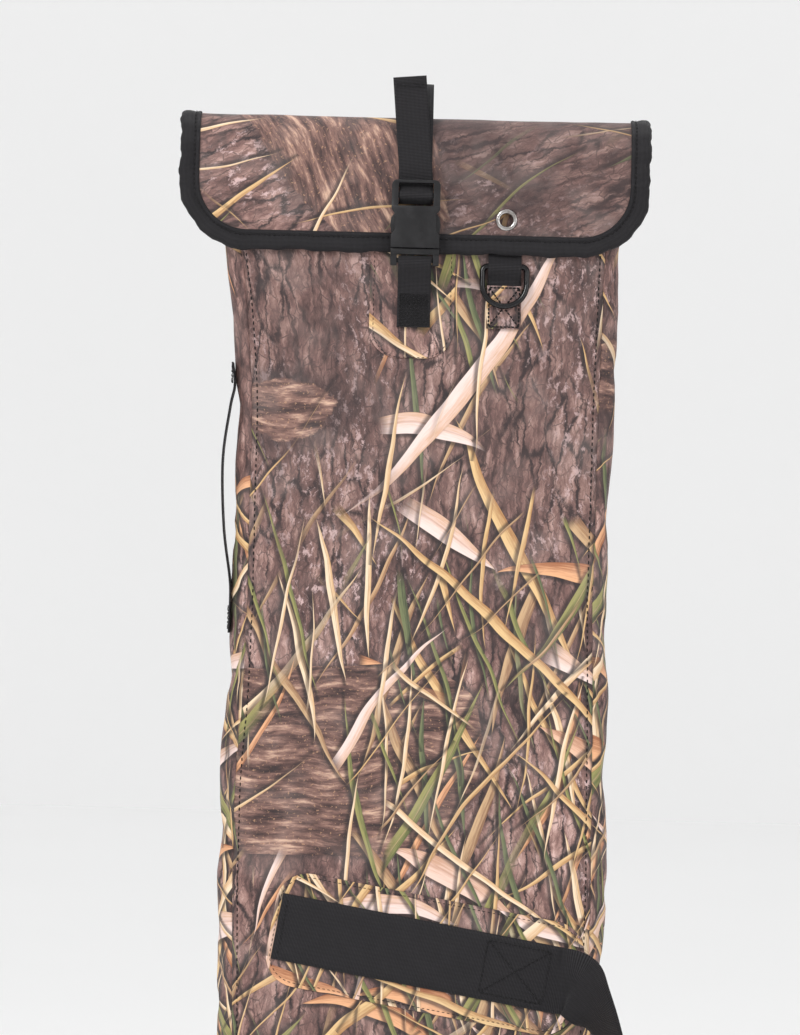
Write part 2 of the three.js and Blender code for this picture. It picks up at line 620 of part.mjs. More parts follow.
function slingStrap() {
  const lower = SLING_TOP.map(([x, y, depth, turn]) => [x, y, 2 * SLING_MIDDLE - depth, turn]).reverse();
  const stops = [...SLING_TOP, [226, -52, SLING_MIDDLE, 86], ...lower];
  const curve = new THREE.CatmullRomCurve3(stops.map(([x, y, depth]) => new THREE.Vector3(x, y, -depth)));
  const count = 42;
  const sections = steps(0, 1, count).map((t) => {
    const position = curve.getPoint(t);
    const tangent = curve.getTangent(t);
    const place = t * (stops.length - 1);
    const at = Math.min(Math.floor(place), stops.length - 2);
    const turn = radians(lerp(stops[at][3], stops[at + 1][3], place - at));
    const flat = new THREE.Vector3(-tangent.z, 0, tangent.x).normalize();
    const across = flat.multiplyScalar(Math.cos(turn)).add(new THREE.Vector3(0, -Math.sin(turn), 0));
    across.addScaledVector(tangent, -across.dot(tangent)).normalize();
    const out = new THREE.Vector3().crossVectors(tangent, across);
    return RECTANGLE.map(([a, b]) => {
      const point = position.clone().addScaledVector(across, (a * SLING_WIDTH) / 2);
      return point.addScaledVector(out, (b * SLING_WEBBING) / 2).toArray();
    });
  });
  return loft(sections, RECTANGLE);
}
add('sling_strap', slingStrap(), webbing);

// ---- Side handle --------------------------------------------------------------------------------

function sideHandle() {
  const line = [[-133.2, 188], [-131.3, 205], [-134.4, 222], [-139, 262], [-137, 312], [-131.6, 350],
    [-130.7, 366], [-131.1, 392]];
  const curve = new THREE.SplineCurve(line.map(([x, depth]) => new THREE.Vector2(x, -depth)));
  const sections = thickLine(curve.getPoints(24), WEBBING).map(([a, b]) => (
    RECTANGLE.map(([side, face]) => {
      const { x, y: z } = face > 0 ? a : b;
      return [x, (side * NARROW) / 2, z];
    })));
  return loft(sections, RECTANGLE);
}
add('side_handle', sideHandle(), webbing);

export default object;
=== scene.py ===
# Looks for the padded long gun case: printed shell, bound flap, webbing, moulded buckle and metal parts.
# Metres in Blender, and millimetres in the tables below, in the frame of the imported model.
import math

import bmesh
import bpy
import numpy as np
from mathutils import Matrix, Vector


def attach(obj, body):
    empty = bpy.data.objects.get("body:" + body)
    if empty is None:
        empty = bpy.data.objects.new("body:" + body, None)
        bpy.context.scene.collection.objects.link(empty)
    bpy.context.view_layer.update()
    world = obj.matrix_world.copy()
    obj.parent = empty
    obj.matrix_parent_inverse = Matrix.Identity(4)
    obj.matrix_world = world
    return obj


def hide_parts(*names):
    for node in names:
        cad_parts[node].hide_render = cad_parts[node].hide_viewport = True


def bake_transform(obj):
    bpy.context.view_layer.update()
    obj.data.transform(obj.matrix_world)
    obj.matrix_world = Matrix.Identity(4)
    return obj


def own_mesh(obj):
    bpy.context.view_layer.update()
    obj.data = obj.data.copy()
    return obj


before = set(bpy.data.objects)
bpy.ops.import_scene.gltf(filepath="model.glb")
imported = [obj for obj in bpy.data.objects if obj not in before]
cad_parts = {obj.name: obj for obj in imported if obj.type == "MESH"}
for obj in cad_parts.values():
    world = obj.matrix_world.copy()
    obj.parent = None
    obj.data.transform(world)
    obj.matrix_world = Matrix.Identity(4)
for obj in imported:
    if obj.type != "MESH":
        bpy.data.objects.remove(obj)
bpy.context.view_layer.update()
MM = 0.001
scene = bpy.context.scene

# ---- Dimensions of the case, as in the CAD source ----

CASE_LENGTH = 1372.0
LEFT_EDGE = [(0, -146), (104, -141), (138, -135), (213, -129), (365, -129), (440, -130.5), (500, -135),
             (560, -135), (690, -132), (900, -126), (1100, -117), (1372, -102)]
RIGHT_EDGE = [(0, 161), (104, 157), (213, 155), (365, 154), (440, 156), (560, 158), (690, 157), (900, 151),
              (1100, 142), (1372, 126)]
SIDE_ROUNDING = 30.0
END_CORNER = 45.0
SEAM_ANGLE = 52.0
MOUTH_TOP = 8.8
SHELL_BOTTOM = CASE_LENGTH - 4
NECK = 16.0
FLAP_FRONT, FLAP_RISE, FLAP_BACK_END, FLAP_BOTTOM, FLAP_CORNER = 21.6, 30.0, 32.4, 102.0, 50.0
FLAP_LEFT, FLAP_RIGHT = -174.6, 176.3
BUCKLE_X = 2.0
GROMMET_X, GROMMET_DEPTH = 70.3, 76.8
RING_X, RING_DEPTH = 70.0, 111.5
SLING_X, SLING_UPPER, SLING_LOWER, SLING_SLOPE = 118.2, 644.8, 1133.0, 9.6


def smooth(x, a, b):
    t = np.clip((np.asarray(x, float) - a) / (b - a), 0, 1)
    return t * t * (3 - 2 * t)


def waves(x, y, seed, shortest, longest, count=14):
    """A smooth random field of about -1 to 1, from sine waves between two lengths in mm."""
    rng = np.random.default_rng(seed)
    total = np.zeros(np.broadcast(x, y).shape)
    for _ in range(count):
        length = math.exp(rng.uniform(math.log(shortest), math.log(longest)))
        turn, phase = rng.uniform(0, math.pi), rng.uniform(0, 2 * math.pi)
        total += np.sin(2 * math.pi * (x * math.cos(turn) + y * math.sin(turn)) / length + phase)
    return total / math.sqrt(count)


def half_thickness(depth):
    neck = 7 + 9 * smooth(depth, 6, 40)
    return neck + 11 * smooth(depth, 184, 310) - 23 * smooth(depth, 1180, 1366)


def end_rounding(depth):
    into = np.clip(depth - (CASE_LENGTH - END_CORNER), 0, END_CORNER)
    return END_CORNER - np.sqrt(END_CORNER ** 2 - into ** 2)


def edge(table, depth):
    knots = np.array(table, float)
    fine = np.linspace(0, CASE_LENGTH, 400)
    line = np.interp(fine, knots[:, 0], knots[:, 1])
    soft = np.convolve(np.pad(line, 6, "edge"), np.ones(13) / 13, "valid")
    return np.interp(depth, fine, soft)


def case_point(side, value, face, depth, inset):
    """A point of the section: an angle on a rounded side, or a share of the flat front (-1) or back (1)."""
    reach = SIDE_ROUNDING - inset
    half = half_thickness(depth) - inset
    left = edge(LEFT_EDGE, depth) + end_rounding(depth) + SIDE_ROUNDING
    right = edge(RIGHT_EDGE, depth) - end_rounding(depth) - SIDE_ROUNDING
    if side == 0:
        return np.stack([left + (right - left) * value, face * half, -depth], -1)
    angle = math.radians(value)
    out = reach * math.cos(angle)
    return np.stack([left - out if side < 0 else right + out, half * math.sin(angle), -depth], -1)


# ---- Meshes from arrays of points ----

def mesh_object(name, points, faces, cloth=None):
    mesh = bpy.data.meshes.new(name)
    mesh.from_pydata((np.asarray(points, float) * MM).tolist(), [], [list(map(int, f)) for f in faces])
    if cloth is not None:
        attribute = mesh.attributes.new("cloth", "FLOAT_VECTOR", "POINT")
        flat = np.zeros((len(points), 3), np.float32)
        flat[:, :np.shape(cloth)[1]] = np.asarray(cloth) * MM
        attribute.data.foreach_set("vector", flat.ravel())
    mesh.shade_smooth()
    obj = bpy.data.objects.new(name, mesh)
    scene.collection.objects.link(obj)
    return obj


def grid_faces(rows, columns, around=False):
    r, c = np.meshgrid(np.arange(rows - 1), np.arange(columns if around else columns - 1), indexing="ij")
    here, beside = r * columns + c, r * columns + (c + 1) % columns
    return np.stack([here, beside, beside + columns, here + columns], -1).reshape(-1, 4)


def thick(name, outer, inner, faces, cloth):
    """A sheet with thickness: the faces on the outer and the inner points, joined along every open edge."""
    count = len(outer)
    faces = [[int(i) for i in f] for f in faces]
    made = faces + [[count + i for i in f[::-1]] for f in faces]
    made += [[b, a, count + a, count + b] for a, b in open_edges(faces)]
    obj = mesh_object(name, np.concatenate([outer, inner]), made, np.concatenate([cloth, cloth]))
    clean_up(obj)
    return obj


def open_edges(faces):
    """The edges that only one face has, in the order of the faces."""
    edges = {(a, b): True for f in faces for a, b in zip(f, [*f[1:], f[0]])}
    return [(a, b) for a, b in edges if (b, a) not in edges]


def clean_up(obj):
    """Drops loose points and turns the faces outward."""
    bm = bmesh.new()
    bm.from_mesh(obj.data)
    loose = [v for v in bm.verts if not v.link_faces]
    bmesh.ops.delete(bm, geom=loose, context="VERTS")
    bmesh.ops.recalc_face_normals(bm, faces=bm.faces)
    bm.to_mesh(obj.data)
    bm.free()


def loft(name, sections, cloth, closed=False):
    """A closed body through a row of ring sections."""
    rows, columns = sections.shape[:2]
    faces = grid_faces(rows + (1 if closed else 0), columns, True) % (rows * columns)
    faces = [list(f) for f in faces]
    if not closed:
        faces += [list(range(columns))[::-1], [(rows - 1) * columns + i for i in range(columns)]]
    obj = mesh_object(name, sections.reshape(-1, 3), faces, cloth.reshape(-1, cloth.shape[-1]))
    clean_up(obj)
    return obj


def catmull(knots, count):
    """count points evenly along a uniform Catmull-Rom curve through the knots."""
    k = np.asarray(knots, float)
    t = np.linspace(0, len(k) - 1, 24 * len(k))
    i = np.minimum(t.astype(int), len(k) - 2)
    w = (t - i)[:, None]
    p0, p1, p2, p3 = k[np.maximum(i - 1, 0)], k[i], k[i + 1], k[np.minimum(i + 2, len(k) - 1)]
    v0, v1 = (p2 - p0) / 2, (p3 - p1) / 2
    line = (2 * p1 - 2 * p2 + v0 + v1) * w ** 3 + (-3 * p1 + 3 * p2 - 2 * v0 - v1) * w ** 2 + v0 * w + p1
    return spread(line, count)


def run_along(line):
    """The distance of each point of a line from its start."""
    return np.r_[0, np.cumsum(np.linalg.norm(np.diff(line, axis=0), axis=1))]


def spread(line, count):
    step = run_along(line)
    at = np.linspace(0, step[-1], count)
    return np.stack([np.interp(at, step, line[:, i]) for i in range(line.shape[1])], -1)


def unit(v):
    return v / np.maximum(np.linalg.norm(v, axis=-1, keepdims=True), 1e-9)


BAND = [(a, 1.0 - 0.35 * abs(a) ** 6) for a in np.linspace(-0.985, 0.985, 11)]
BAND += [(1.0, 0.35), (1.0, -0.35)] + [(a, -b) for a, b in BAND[::-1]] + [(-1.0, -0.35), (-1.0, 0.35)]


def band(name, line, across, width, thickness, closed=False):
    """Webbing along a line. across is the direction of its width, one for all or one for each point."""
    line = np.asarray(line, float)
    tangent = unit(np.gradient(line, axis=0))
    across = np.broadcast_to(np.asarray(across, float), line.shape)
    across = unit(across - (across * tangent).sum(-1, keepdims=True) * tangent)
    out = np.cross(tangent, across)
    step = run_along(line)
    thickness = np.broadcast_to(thickness, len(line))
    sections = np.stack([line + across * a * width / 2 + out * (thickness * b / 2)[:, None]
                         for a, b in BAND], 1)
    cloth = np.stack([np.stack([np.full(len(line), a * width / 2), step, np.full(len(line), b)], -1)
                      for a, b in BAND], 1)
    return loft(name, sections, cloth, closed)


def stitches(name, rows, length=2.2, gap=1.0, radius=0.32, sink=0.1):
    """Rows of short stitches. Each row is (points, normals) in mm on the fabric's surface."""
    points, faces = [], []
    ring = np.linspace(0, 2 * math.pi, 6, endpoint=False)
    for line, normal in rows:
        line = np.asarray(line, float)
        normal = np.broadcast_to(np.asarray(normal, float), line.shape)
        step = run_along(line)
        for start in np.arange(gap / 2, step[-1] - length * 0.6, length + gap):
            at = start + length * np.array([0, 0.18, 0.5, 0.82, 1.0])
            centre = np.stack([np.interp(at, step, line[:, i]) for i in range(3)], -1)
            up = unit(np.stack([np.interp(at, step, normal[:, i]) for i in range(3)], -1))
            along = unit(np.gradient(centre, axis=0))
            side = np.cross(along, up)
            size = radius * np.array([0.35, 0.9, 1.0, 0.9, 0.35])
            centre = centre + up * (size * 0.55 - radius * np.array([0.9, 0, -0.1, 0, 0.9]) - sink)[:, None]
            base = len(points)
            for c, u, s, r in zip(centre, up, side, size):
                points += [c + r * (math.cos(a) * s + math.sin(a) * u) for a in ring]
            faces += [[base + i for i in f] for f in grid_faces(5, 6, True)]
            faces += [[base + i for i in range(6)][::-1], [base + 24 + i for i in range(6)]]
    cloth = np.asarray(points)[:, [0, 2, 1]]
    return mesh_object(name, points, faces, cloth)


def outline_plate(name, outline, y, thickness, cloth_shift=(0, 0), bevel=0.35):
    """A flat patch cut to an outline of [x, depth] points, its front face at y - thickness."""
    outline = np.asarray(outline, float)
    bm = bmesh.new()
    verts = [bm.verts.new((x * MM, y * MM, -d * MM)) for x, d in outline]
    face = bm.faces.new(verts)
    grown = bmesh.ops.extrude_face_region(bm, geom=[face])["geom"]
    bmesh.ops.translate(bm, verts=[g for g in grown if isinstance(g, bmesh.types.BMVert)],
                        vec=(0, -thickness * MM, 0))
    bmesh.ops.recalc_face_normals(bm, faces=bm.faces)
    rim = [e for e in bm.edges if len(e.link_faces) == 2 and e.calc_face_angle(0) > 1.2]
    bmesh.ops.bevel(bm, geom=rim, offset=bevel * MM, segments=2, affect="EDGES", profile=0.5)
    mesh = bpy.data.meshes.new(name)
    bm.to_mesh(mesh)
    bm.free()
    co = np.array([v.co for v in mesh.vertices]) / MM
    attribute = mesh.attributes.new("cloth", "FLOAT_VECTOR", "POINT")
    flat = np.stack([co[:, 0] + cloth_shift[0], co[:, 2] + cloth_shift[1], co[:, 1] * 0], -1) * MM
    attribute.data.foreach_set("vector", flat.astype(np.float32).ravel())
    obj = bpy.data.objects.new(name, mesh)
    scene.collection.objects.link(obj)
    return obj


# ---- Node materials ----

def rgb(r, g, b):
    return tuple(((c / 255 + 0.055) / 1.055) ** 2.4 for c in (r, g, b)) + (1.0,)


class Net:
    """A short way to write shader nodes. Values are sockets, numbers or colours."""

    def __init__(self, name):
        self.material = bpy.data.materials.new(name)
        self.material.use_nodes = True
        self.tree = self.material.node_tree
        self.shader = self.tree.nodes["Principled BSDF"]

    def put(self, socket, value):
        if isinstance(value, bpy.types.NodeSocket):
            self.tree.links.new(value, socket)
        elif value is not None:
            socket.default_value = value

    def math(self, operation, a, b=None):
        node = self.tree.nodes.new("ShaderNodeMath")
        node.operation = operation
        for socket, value in zip(node.inputs, (a, b)):
            self.put(socket, value)
        return node.outputs[0]

    def add(self, a, b):
        return self.math("ADD", a, b)

    def sub(self, a, b):
        return self.math("SUBTRACT", a, b)

    def mul(self, a, b):
        return self.math("MULTIPLY", a, b)

    def step(self, value, low, high, to_low=0.0, to_high=1.0):
        node = self.tree.nodes.new("ShaderNodeMapRange")
        node.interpolation_type = "SMOOTHSTEP"
        for socket, v in zip(node.inputs, (value, low, high, to_low, to_high)):
            self.put(socket, v)
        return node.outputs[0]

    def mix(self, factor, a, b, blend="MIX"):
        node = self.tree.nodes.new("ShaderNodeMix")
        node.data_type, node.blend_type = "RGBA", blend
        self.put(node.inputs[0], factor)
        self.put(node.inputs[6], a)
        self.put(node.inputs[7], b)
        return node.outputs[2]

    def split(self, vector):
        node = self.tree.nodes.new("ShaderNodeSeparateXYZ")
        self.put(node.inputs[0], vector)
        return node.outputs

    def vector(self, x=0.0, y=0.0, z=0.0):
        node = self.tree.nodes.new("ShaderNodeCombineXYZ")
        for socket, value in zip(node.inputs, (x, y, z)):
            self.put(socket, value)
        return node.outputs[0]

    def noise(self, vector, scale, detail=3.0, rough=0.55, colour=False):
        node = self.tree.nodes.new("ShaderNodeTexNoise")
        self.put(node.inputs["Vector"], vector)
        for key, value in (("Scale", scale), ("Detail", detail), ("Roughness", rough)):
            node.inputs[key].default_value = value
        return node.outputs["Color" if colour else "Fac"]

    def cells(self, vector, scale):
        node = self.tree.nodes.new("ShaderNodeTexVoronoi")
        node.feature = "DISTANCE_TO_EDGE"
        self.put(node.inputs["Vector"], vector)
        node.inputs["Scale"].default_value = scale
        return node.outputs["Distance"]

    def dial(self, name, value):
        """A number that copies of the material can set."""
        node = self.tree.nodes.new("ShaderNodeValue")
        node.name = name
        node.outputs[0].default_value = value
        return node.outputs[0]

    def chance(self, vector):
        node = self.tree.nodes.new("ShaderNodeTexWhiteNoise")
        self.put(node.inputs["Vector"], vector)
        return self.split(node.outputs["Color"])

    def ramp(self, value, stops):
        node = self.tree.nodes.new("ShaderNodeValToRGB")
        self.put(node.inputs[0], value)
        elements = node.color_ramp.elements
        while len(elements) < len(stops):
            elements.new(0.5)
        for element, (place, colour) in zip(elements, stops):
            element.position, element.color = place, colour
        return node.outputs[0]

    def cloth(self):
        node = self.tree.nodes.new("ShaderNodeAttribute")
        node.attribute_name = "cloth"
        return node.outputs["Vector"]

    def place(self):
        return self.tree.nodes.new("ShaderNodeTexCoord").outputs["Object"]

    def bump(self, height, distance, strength=1.0):
        node = self.tree.nodes.new("ShaderNodeBump")
        node.inputs["Strength"].default_value = strength
        node.inputs["Distance"].default_value = distance
        self.put(node.inputs["Height"], height)
        self.put(self.shader.inputs["Normal"], node.outputs[0])

    def done(self, colour, roughness, **values):
        self.put(self.shader.inputs["Base Color"], colour)
        self.put(self.shader.inputs["Roughness"], roughness)
        for key, value in values.items():
            self.shader.inputs[key.replace("_", " ")].default_value = value
        return self.material


# Colours of the reeds, on the lit and on the shaded side of a blade
STRAW = [(rgb(238, 224, 190), rgb(200, 164, 112)), (rgb(236, 222, 212), rgb(206, 172, 140)),
         (rgb(222, 196, 140), rgb(158, 116, 70)), (rgb(150, 152, 92), rgb(84, 96, 52)),
         (rgb(196, 170, 128), rgb(122, 88, 64)), (rgb(112, 124, 84), rgb(60, 70, 50)),
         (rgb(226, 178, 132), rgb(146, 92, 58))]


def print_material():
    """The printed cloth: bark, a fallen log and dry reeds, laid out at random from fixed seeds."""
    n = Net("print_body")
    where = n.cloth()
    u0, v0, _ = n.split(where)
    mapping = n.tree.nodes.new("ShaderNodeMapping")
    mapping.name = "lay"
    n.put(mapping.inputs[0], where)
    flat = mapping.outputs[0]
    u, v, _ = n.split(flat)
    drift = n.split(n.noise(flat, 9, 2, colour=True))
    ragged = n.split(n.noise(flat, 95, 4, 0.65, colour=True))
    wu = n.add(u, n.mul(n.sub(drift[0], 0.5), 0.016))
    wv = n.add(v, n.mul(n.sub(drift[1], 0.5), 0.03))
    bu = n.add(wu, n.mul(n.sub(ragged[0], 0.5), 0.008))

    # Bark: upright plates parted by dark furrows, with pale flecks
    plates = n.cells(n.vector(bu, n.mul(wv, 0.27)), 74)
    small = n.cells(n.vector(bu, n.mul(wv, 0.4)), 190)
    grain = n.noise(n.vector(bu, n.mul(wv, 0.22)), 150, 7, 0.72)
    broad = n.noise(n.vector(u, n.mul(v, 0.45)), 15, 3, 0.5)
    fleck = n.noise(n.vector(bu, n.mul(wv, 0.42)), 190, 6, 0.74)
    tone = n.add(n.mul(grain, 0.66), n.mul(broad, 0.38))
    bark = n.ramp(tone, [(0.39, rgb(54, 42, 43)), (0.455, rgb(98, 78, 73)), (0.52, rgb(136, 110, 102)),
                         (0.575, rgb(172, 146, 134)), (0.66, rgb(226, 204, 192))])
    furrow = n.step(n.add(plates, n.mul(n.sub(grain, 0.5), 0.3)), 0.0, 0.085, 1, 0)
    furrow = n.mul(furrow, n.step(broad, 0.36, 0.54))
    bark = n.mix(n.mul(furrow, 0.94), bark, rgb(38, 28, 31))
    crack = n.mul(n.step(small, 0.0, 0.06, 1, 0), n.step(grain, 0.42, 0.56))
    bark = n.mix(n.mul(crack, 0.72), bark, rgb(48, 36, 38))
    patchy = n.noise(n.vector(u, n.mul(v, 0.5), 2.2), 11, 2)
    pale = n.mul(n.step(fleck, 0.53, 0.62), n.step(patchy, 0.47, 0.6))
    bark = n.mix(n.mul(pale, 0.85), bark, rgb(232, 214, 208))
    colour = n.mix(1.0, bark, (0.79, 0.74, 0.74, 1), "MULTIPLY")

    # The bark is in shade higher up the tree
    colour = n.mix(n.mul(n.step(v0, -0.44, -0.22), n.dial("dark_top", 0.27)), colour, rgb(58, 44, 42))

    # A fallen log and driftwood: the grain runs across
    across = n.step(n.math("ABSOLUTE", n.add(v0, 0.49)), 0.05, 0.1, 0.42, 0.0)
    leftward = n.step(u0, -0.02, 0.07, 1, 0.1)
    share = n.dial("log_share", -0.15)
    hill = n.add(n.noise(n.vector(n.mul(u, 0.55), v, 3.3), 5.2, 1.5), n.mul(across, leftward))
    hill = n.add(n.add(hill, share), n.mul(n.sub(ragged[1], 0.5), 0.035))
    lying = n.noise(n.vector(n.mul(wu, 0.2), wv, 5.0), 120, 6, 0.66)
    log = n.ramp(lying, [(0.36, rgb(44, 32, 32)), (0.47, rgb(88, 66, 60)), (0.56, rgb(134, 106, 94)),
                         (0.66, rgb(208, 180, 154))])
    specks = n.step(n.noise(flat, 420, 2, 0.6), 0.6, 0.68)
    log = n.mix(n.mul(specks, 0.5), log, rgb(196, 160, 124))
    shade = n.step(hill, 0.5, 0.556, 0, 0.6)
    colour = n.mix(shade, colour, rgb(44, 34, 36))
    colour = n.mix(n.step(hill, 0.552, 0.558), colour, log)

    # Where the reeds grow thickly
    zone = n.add(n.mul(n.noise(n.vector(n.mul(u, 1.1), n.mul(v, 0.7), 7.7), 6, 1.5), 0.6), 0.035)
    low = n.mul(n.step(n.mul(v0, -1), 0.24, 0.46), n.step(u0, -0.08, 0.03, 0.15, 1.0))
    zone = n.add(n.add(zone, n.mul(low, 0.32)), n.step(n.math("ABSOLUTE", u0), 0.09, 0.15, 0, 0.06))
    # Layers of blades: angle from upright, cell length, cell width and half width in m, density, colour, seed
    layers = [
        (-24, 0.16, 0.036, 0.0042, 0.42, 4, 1), (31, 0.21, 0.05, 0.005, 0.42, 2, 2),
        (8, 0.13, 0.026, 0.003, 0.44, 5, 3), (70, 0.12, 0.06, 0.009, 0.5, 6, 10),
        (-52, 0.24, 0.06, 0.0038, 0.42, 0, 4), (19, 0.17, 0.03, 0.0022, 0.41, 3, 5),
        (-33, 0.28, 0.075, 0.0058, 0.45, 1, 6), (-9, 0.15, 0.028, 0.0018, 0.43, 0, 7),
        (48, 0.3, 0.08, 0.0042, 0.43, 0, 8), (-41, 0.2, 0.04, 0.0016, 0.41, 2, 9)]
    for angle, long, wide, half, thin, shade_of, seed in layers:
        a = math.radians(angle)
        p = n.add(n.mul(wu, math.cos(a)), n.mul(wv, math.sin(a)))
        q = n.sub(n.mul(wv, math.cos(a)), n.mul(wu, math.sin(a)))
        column = n.math("FLOOR", n.mul(p, 1 / wide))
        stagger = n.chance(n.vector(column, seed, 0.5))[0]
        run = n.add(n.mul(q, 1 / long), n.mul(stagger, 5.0))
        row = n.math("FLOOR", run)
        r1, r2, r3 = n.chance(n.vector(column, row, seed))
        r4, r5, r6 = n.chance(n.vector(row, column, seed + 40))
        along = n.sub(n.mul(n.math("FRACT", run), 2), 1)
        inside = n.sub(n.math("FRACT", n.mul(p, 1 / wide)), 0.5)
        bow = n.mul(n.mul(n.sub(r2, 0.5), 0.75), n.mul(along, along))
        lean = n.mul(n.mul(n.sub(r3, 0.5), 0.55), along)
        off = n.mul(n.sub(n.sub(inside, bow), n.add(lean, n.mul(n.sub(r4, 0.5), 0.14))), wide)
        tip = n.sub(1, n.math("POWER", n.math("ABSOLUTE", along), 1.7))
        width = n.mul(n.mul(tip, n.add(n.mul(r5, 0.75), 0.45)), half)
        dense = n.step(n.sub(zone, n.mul(r1, 0.3)), thin - 0.14, thin - 0.1)
        away = n.math("ABSOLUTE", off)
        blade = n.mul(n.step(n.sub(width, away), 0.0, 0.0005), dense)
        fall = n.math("ABSOLUTE", n.add(off, 0.0016))
        dark = n.mul(n.mul(n.step(n.sub(width, fall), -0.0026, 0.0004), dense), 0.75)
        colour = n.mix(dark, colour, rgb(30, 23, 24))
        light, deep = STRAW[shade_of]
        other_light, other_deep = STRAW[(shade_of + 2) % len(STRAW)]
        cross = n.math("DIVIDE", off, n.add(width, 0.0002))
        streak = n.noise(n.vector(n.mul(off, 5.0), n.mul(q, 0.35), seed), 190, 3, 0.6)
        shade_in = n.step(n.add(n.mul(cross, 0.55), n.mul(n.sub(streak, 0.5), 1.5)), -0.5, 0.75)
        first = n.mix(shade_in, light, deep)
        second = n.mix(shade_in, other_light, other_deep)
        body = n.mix(n.step(r6, 0.5, 0.62), first, second)
        rib = n.mul(n.step(n.math("ABSOLUTE", n.sub(cross, 0.1)), 0.0, 0.16, 1, 0), 0.35)
        body = n.mix(rib, body, deep)
        colour = n.mix(blade, colour, body)

    # One half of a piece, on the side of positive x, can be darkened towards dark brown
    colour = n.mix(n.mul(n.step(u0, -0.02, 0.03), n.dial("dark_half", 0.0)), colour, rgb(58, 44, 42))

    # The cloth itself: a fine coated twill with a little wear
    weave = n.math("SINE", n.mul(n.add(u0, v0), 2 * math.pi / 0.0011))
    thread = n.math("SINE", n.mul(n.sub(u0, v0), 2 * math.pi / 0.0009))
    fibre = n.noise(where, 900, 2)
    wear = n.noise(where, 26, 3)
    colour = n.mix(1.0, colour, (0.87, 0.78, 0.8, 1), "MULTIPLY")
    colour = n.mix(n.mul(n.step(wear, 0.45, 0.7), 0.08), colour, rgb(196, 184, 178))
    height = n.add(n.mul(n.mul(weave, thread), 0.35), n.mul(fibre, 1.1))
    n.bump(n.add(height, n.mul(wear, 1.4)), 0.00022, 0.6)
    return n.done(colour, n.step(n.add(n.mul(fibre, 0.5), n.mul(wear, 0.5)), 0.3, 0.7, 0.48, 0.66),
                  Specular_IOR_Level=0.35, Sheen_Weight=0.06, Sheen_Roughness=0.45)


def webbing_material(name, pitch=0.0011, tone=(19, 17, 20), lift=1.0):
    """Woven tape: ribs across its length and pairs of warp threads."""
    n = Net(name)
    where = n.cloth()
    u, v, _ = n.split(where)
    rib = n.math("ABSOLUTE", n.math("SINE", n.mul(v, math.pi / pitch)))
    zig = n.mul(n.math("PINGPONG", u, 0.0016), 1.0)
    warp = n.math("ABSOLUTE", n.math("SINE", n.mul(n.add(u, zig), math.pi / 0.0016)))
    fibre = n.noise(n.vector(n.mul(u, 3), v), 700, 3, 0.7)
    dust = n.noise(where, 60, 4, 0.6)
    dark = tuple(max(0, c - 20) for c in tone)
    pale = tuple(c + 20 for c in tone)
    value = n.add(n.add(n.mul(rib, 0.5), n.mul(warp, 0.08)), n.add(n.mul(fibre, 0.34), n.mul(dust, 0.16)))
    colour = n.ramp(value, [(0.2, rgb(*dark)), (0.55, rgb(*tone)), (0.95, rgb(*pale))])
    n.bump(n.add(n.add(n.mul(rib, 1.2), n.mul(warp, 0.2)), n.mul(fibre, 0.6)), 0.0003 * lift, 0.8)
    return n.done(colour, n.step(value, 0.2, 0.9, 0.8, 0.58), Specular_IOR_Level=0.25, Sheen_Weight=0.05,
                  Sheen_Roughness=0.4)


def plastic_material(name, tone, rough):
    n = Net(name)
    where = n.place()
    grain = n.noise(where, 1600, 2, 0.6)
    haze = n.noise(where, 90, 4, 0.6)
    x, y, z = n.split(where)
    scratch = n.noise(n.vector(n.mul(x, 60), y, n.mul(z, 9)), 12, 5, 0.7)
    pale = tuple(c + 14 for c in tone)
    colour = n.mix(n.mul(n.step(haze, 0.42, 0.72), 0.55), rgb(*tone), rgb(*pale))
    colour = n.mix(n.mul(n.step(scratch, 0.66, 0.72), 0.3), colour, rgb(96, 94, 98))
    n.bump(n.add(n.mul(grain, 0.6), n.mul(scratch, 0.5)), 0.00012, 0.35)
    return n.done(colour, n.step(haze, 0.3, 0.75, rough - 0.06, rough + 0.12), Specular_IOR_Level=0.32)


def nickel_material():
    n = Net("nickel")
    where = n.place()
    haze = n.noise(where, 240, 4, 0.6)
    x, y, z = n.split(where)
    spun = n.noise(n.vector(x, n.mul(y, 30), z), 300, 3)
    colour = n.mix(n.step(haze, 0.4, 0.7), rgb(178, 175, 173), rgb(128, 122, 119))
    n.bump(n.add(haze, n.mul(spun, 0.4)), 0.0001, 0.3)
    return n.done(colour, n.step(haze, 0.35, 0.7, 0.16, 0.34), Metallic=1.0)


def cloth_material(name, tone, scale=0.0007):
    """A plain woven lining."""
    n = Net(name)
    where = n.cloth()
    u, v, _ = n.split(where)
    turn = 2 * math.pi / scale
    weave = n.mul(n.math("SINE", n.mul(u, turn)), n.math("SINE", n.mul(v, turn)))
    fibre = n.noise(where, 500, 3)
    cloud = n.noise(where, 18, 3)
    pale = tuple(c + 20 for c in tone)
    colour = n.mix(n.add(n.mul(fibre, 0.5), n.mul(cloud, 0.5)), rgb(*tone), rgb(*pale))
    n.bump(n.add(n.mul(weave, 0.5), fibre), 0.0002, 0.5)
    return n.done(colour, n.step(cloud, 0.3, 0.7, 0.7, 0.85), Sheen_Weight=0.1)


CAMO = print_material()


def laid_print(name, turn, shift, log_share=-0.07, dark_half=0.0):
    """The same print cut from another place of the cloth, turned by some degrees."""
    material = CAMO.copy()
    material.name = name
    nodes = material.node_tree.nodes
    nodes["lay"].inputs["Location"].default_value = (*shift, 0)
    nodes["lay"].inputs["Rotation"].default_value = (0, 0, math.radians(turn))
    for dial, value in (("log_share", log_share), ("dark_half", dark_half), ("dark_top", 0.0)):
        nodes[dial].outputs[0].default_value = value
    return material


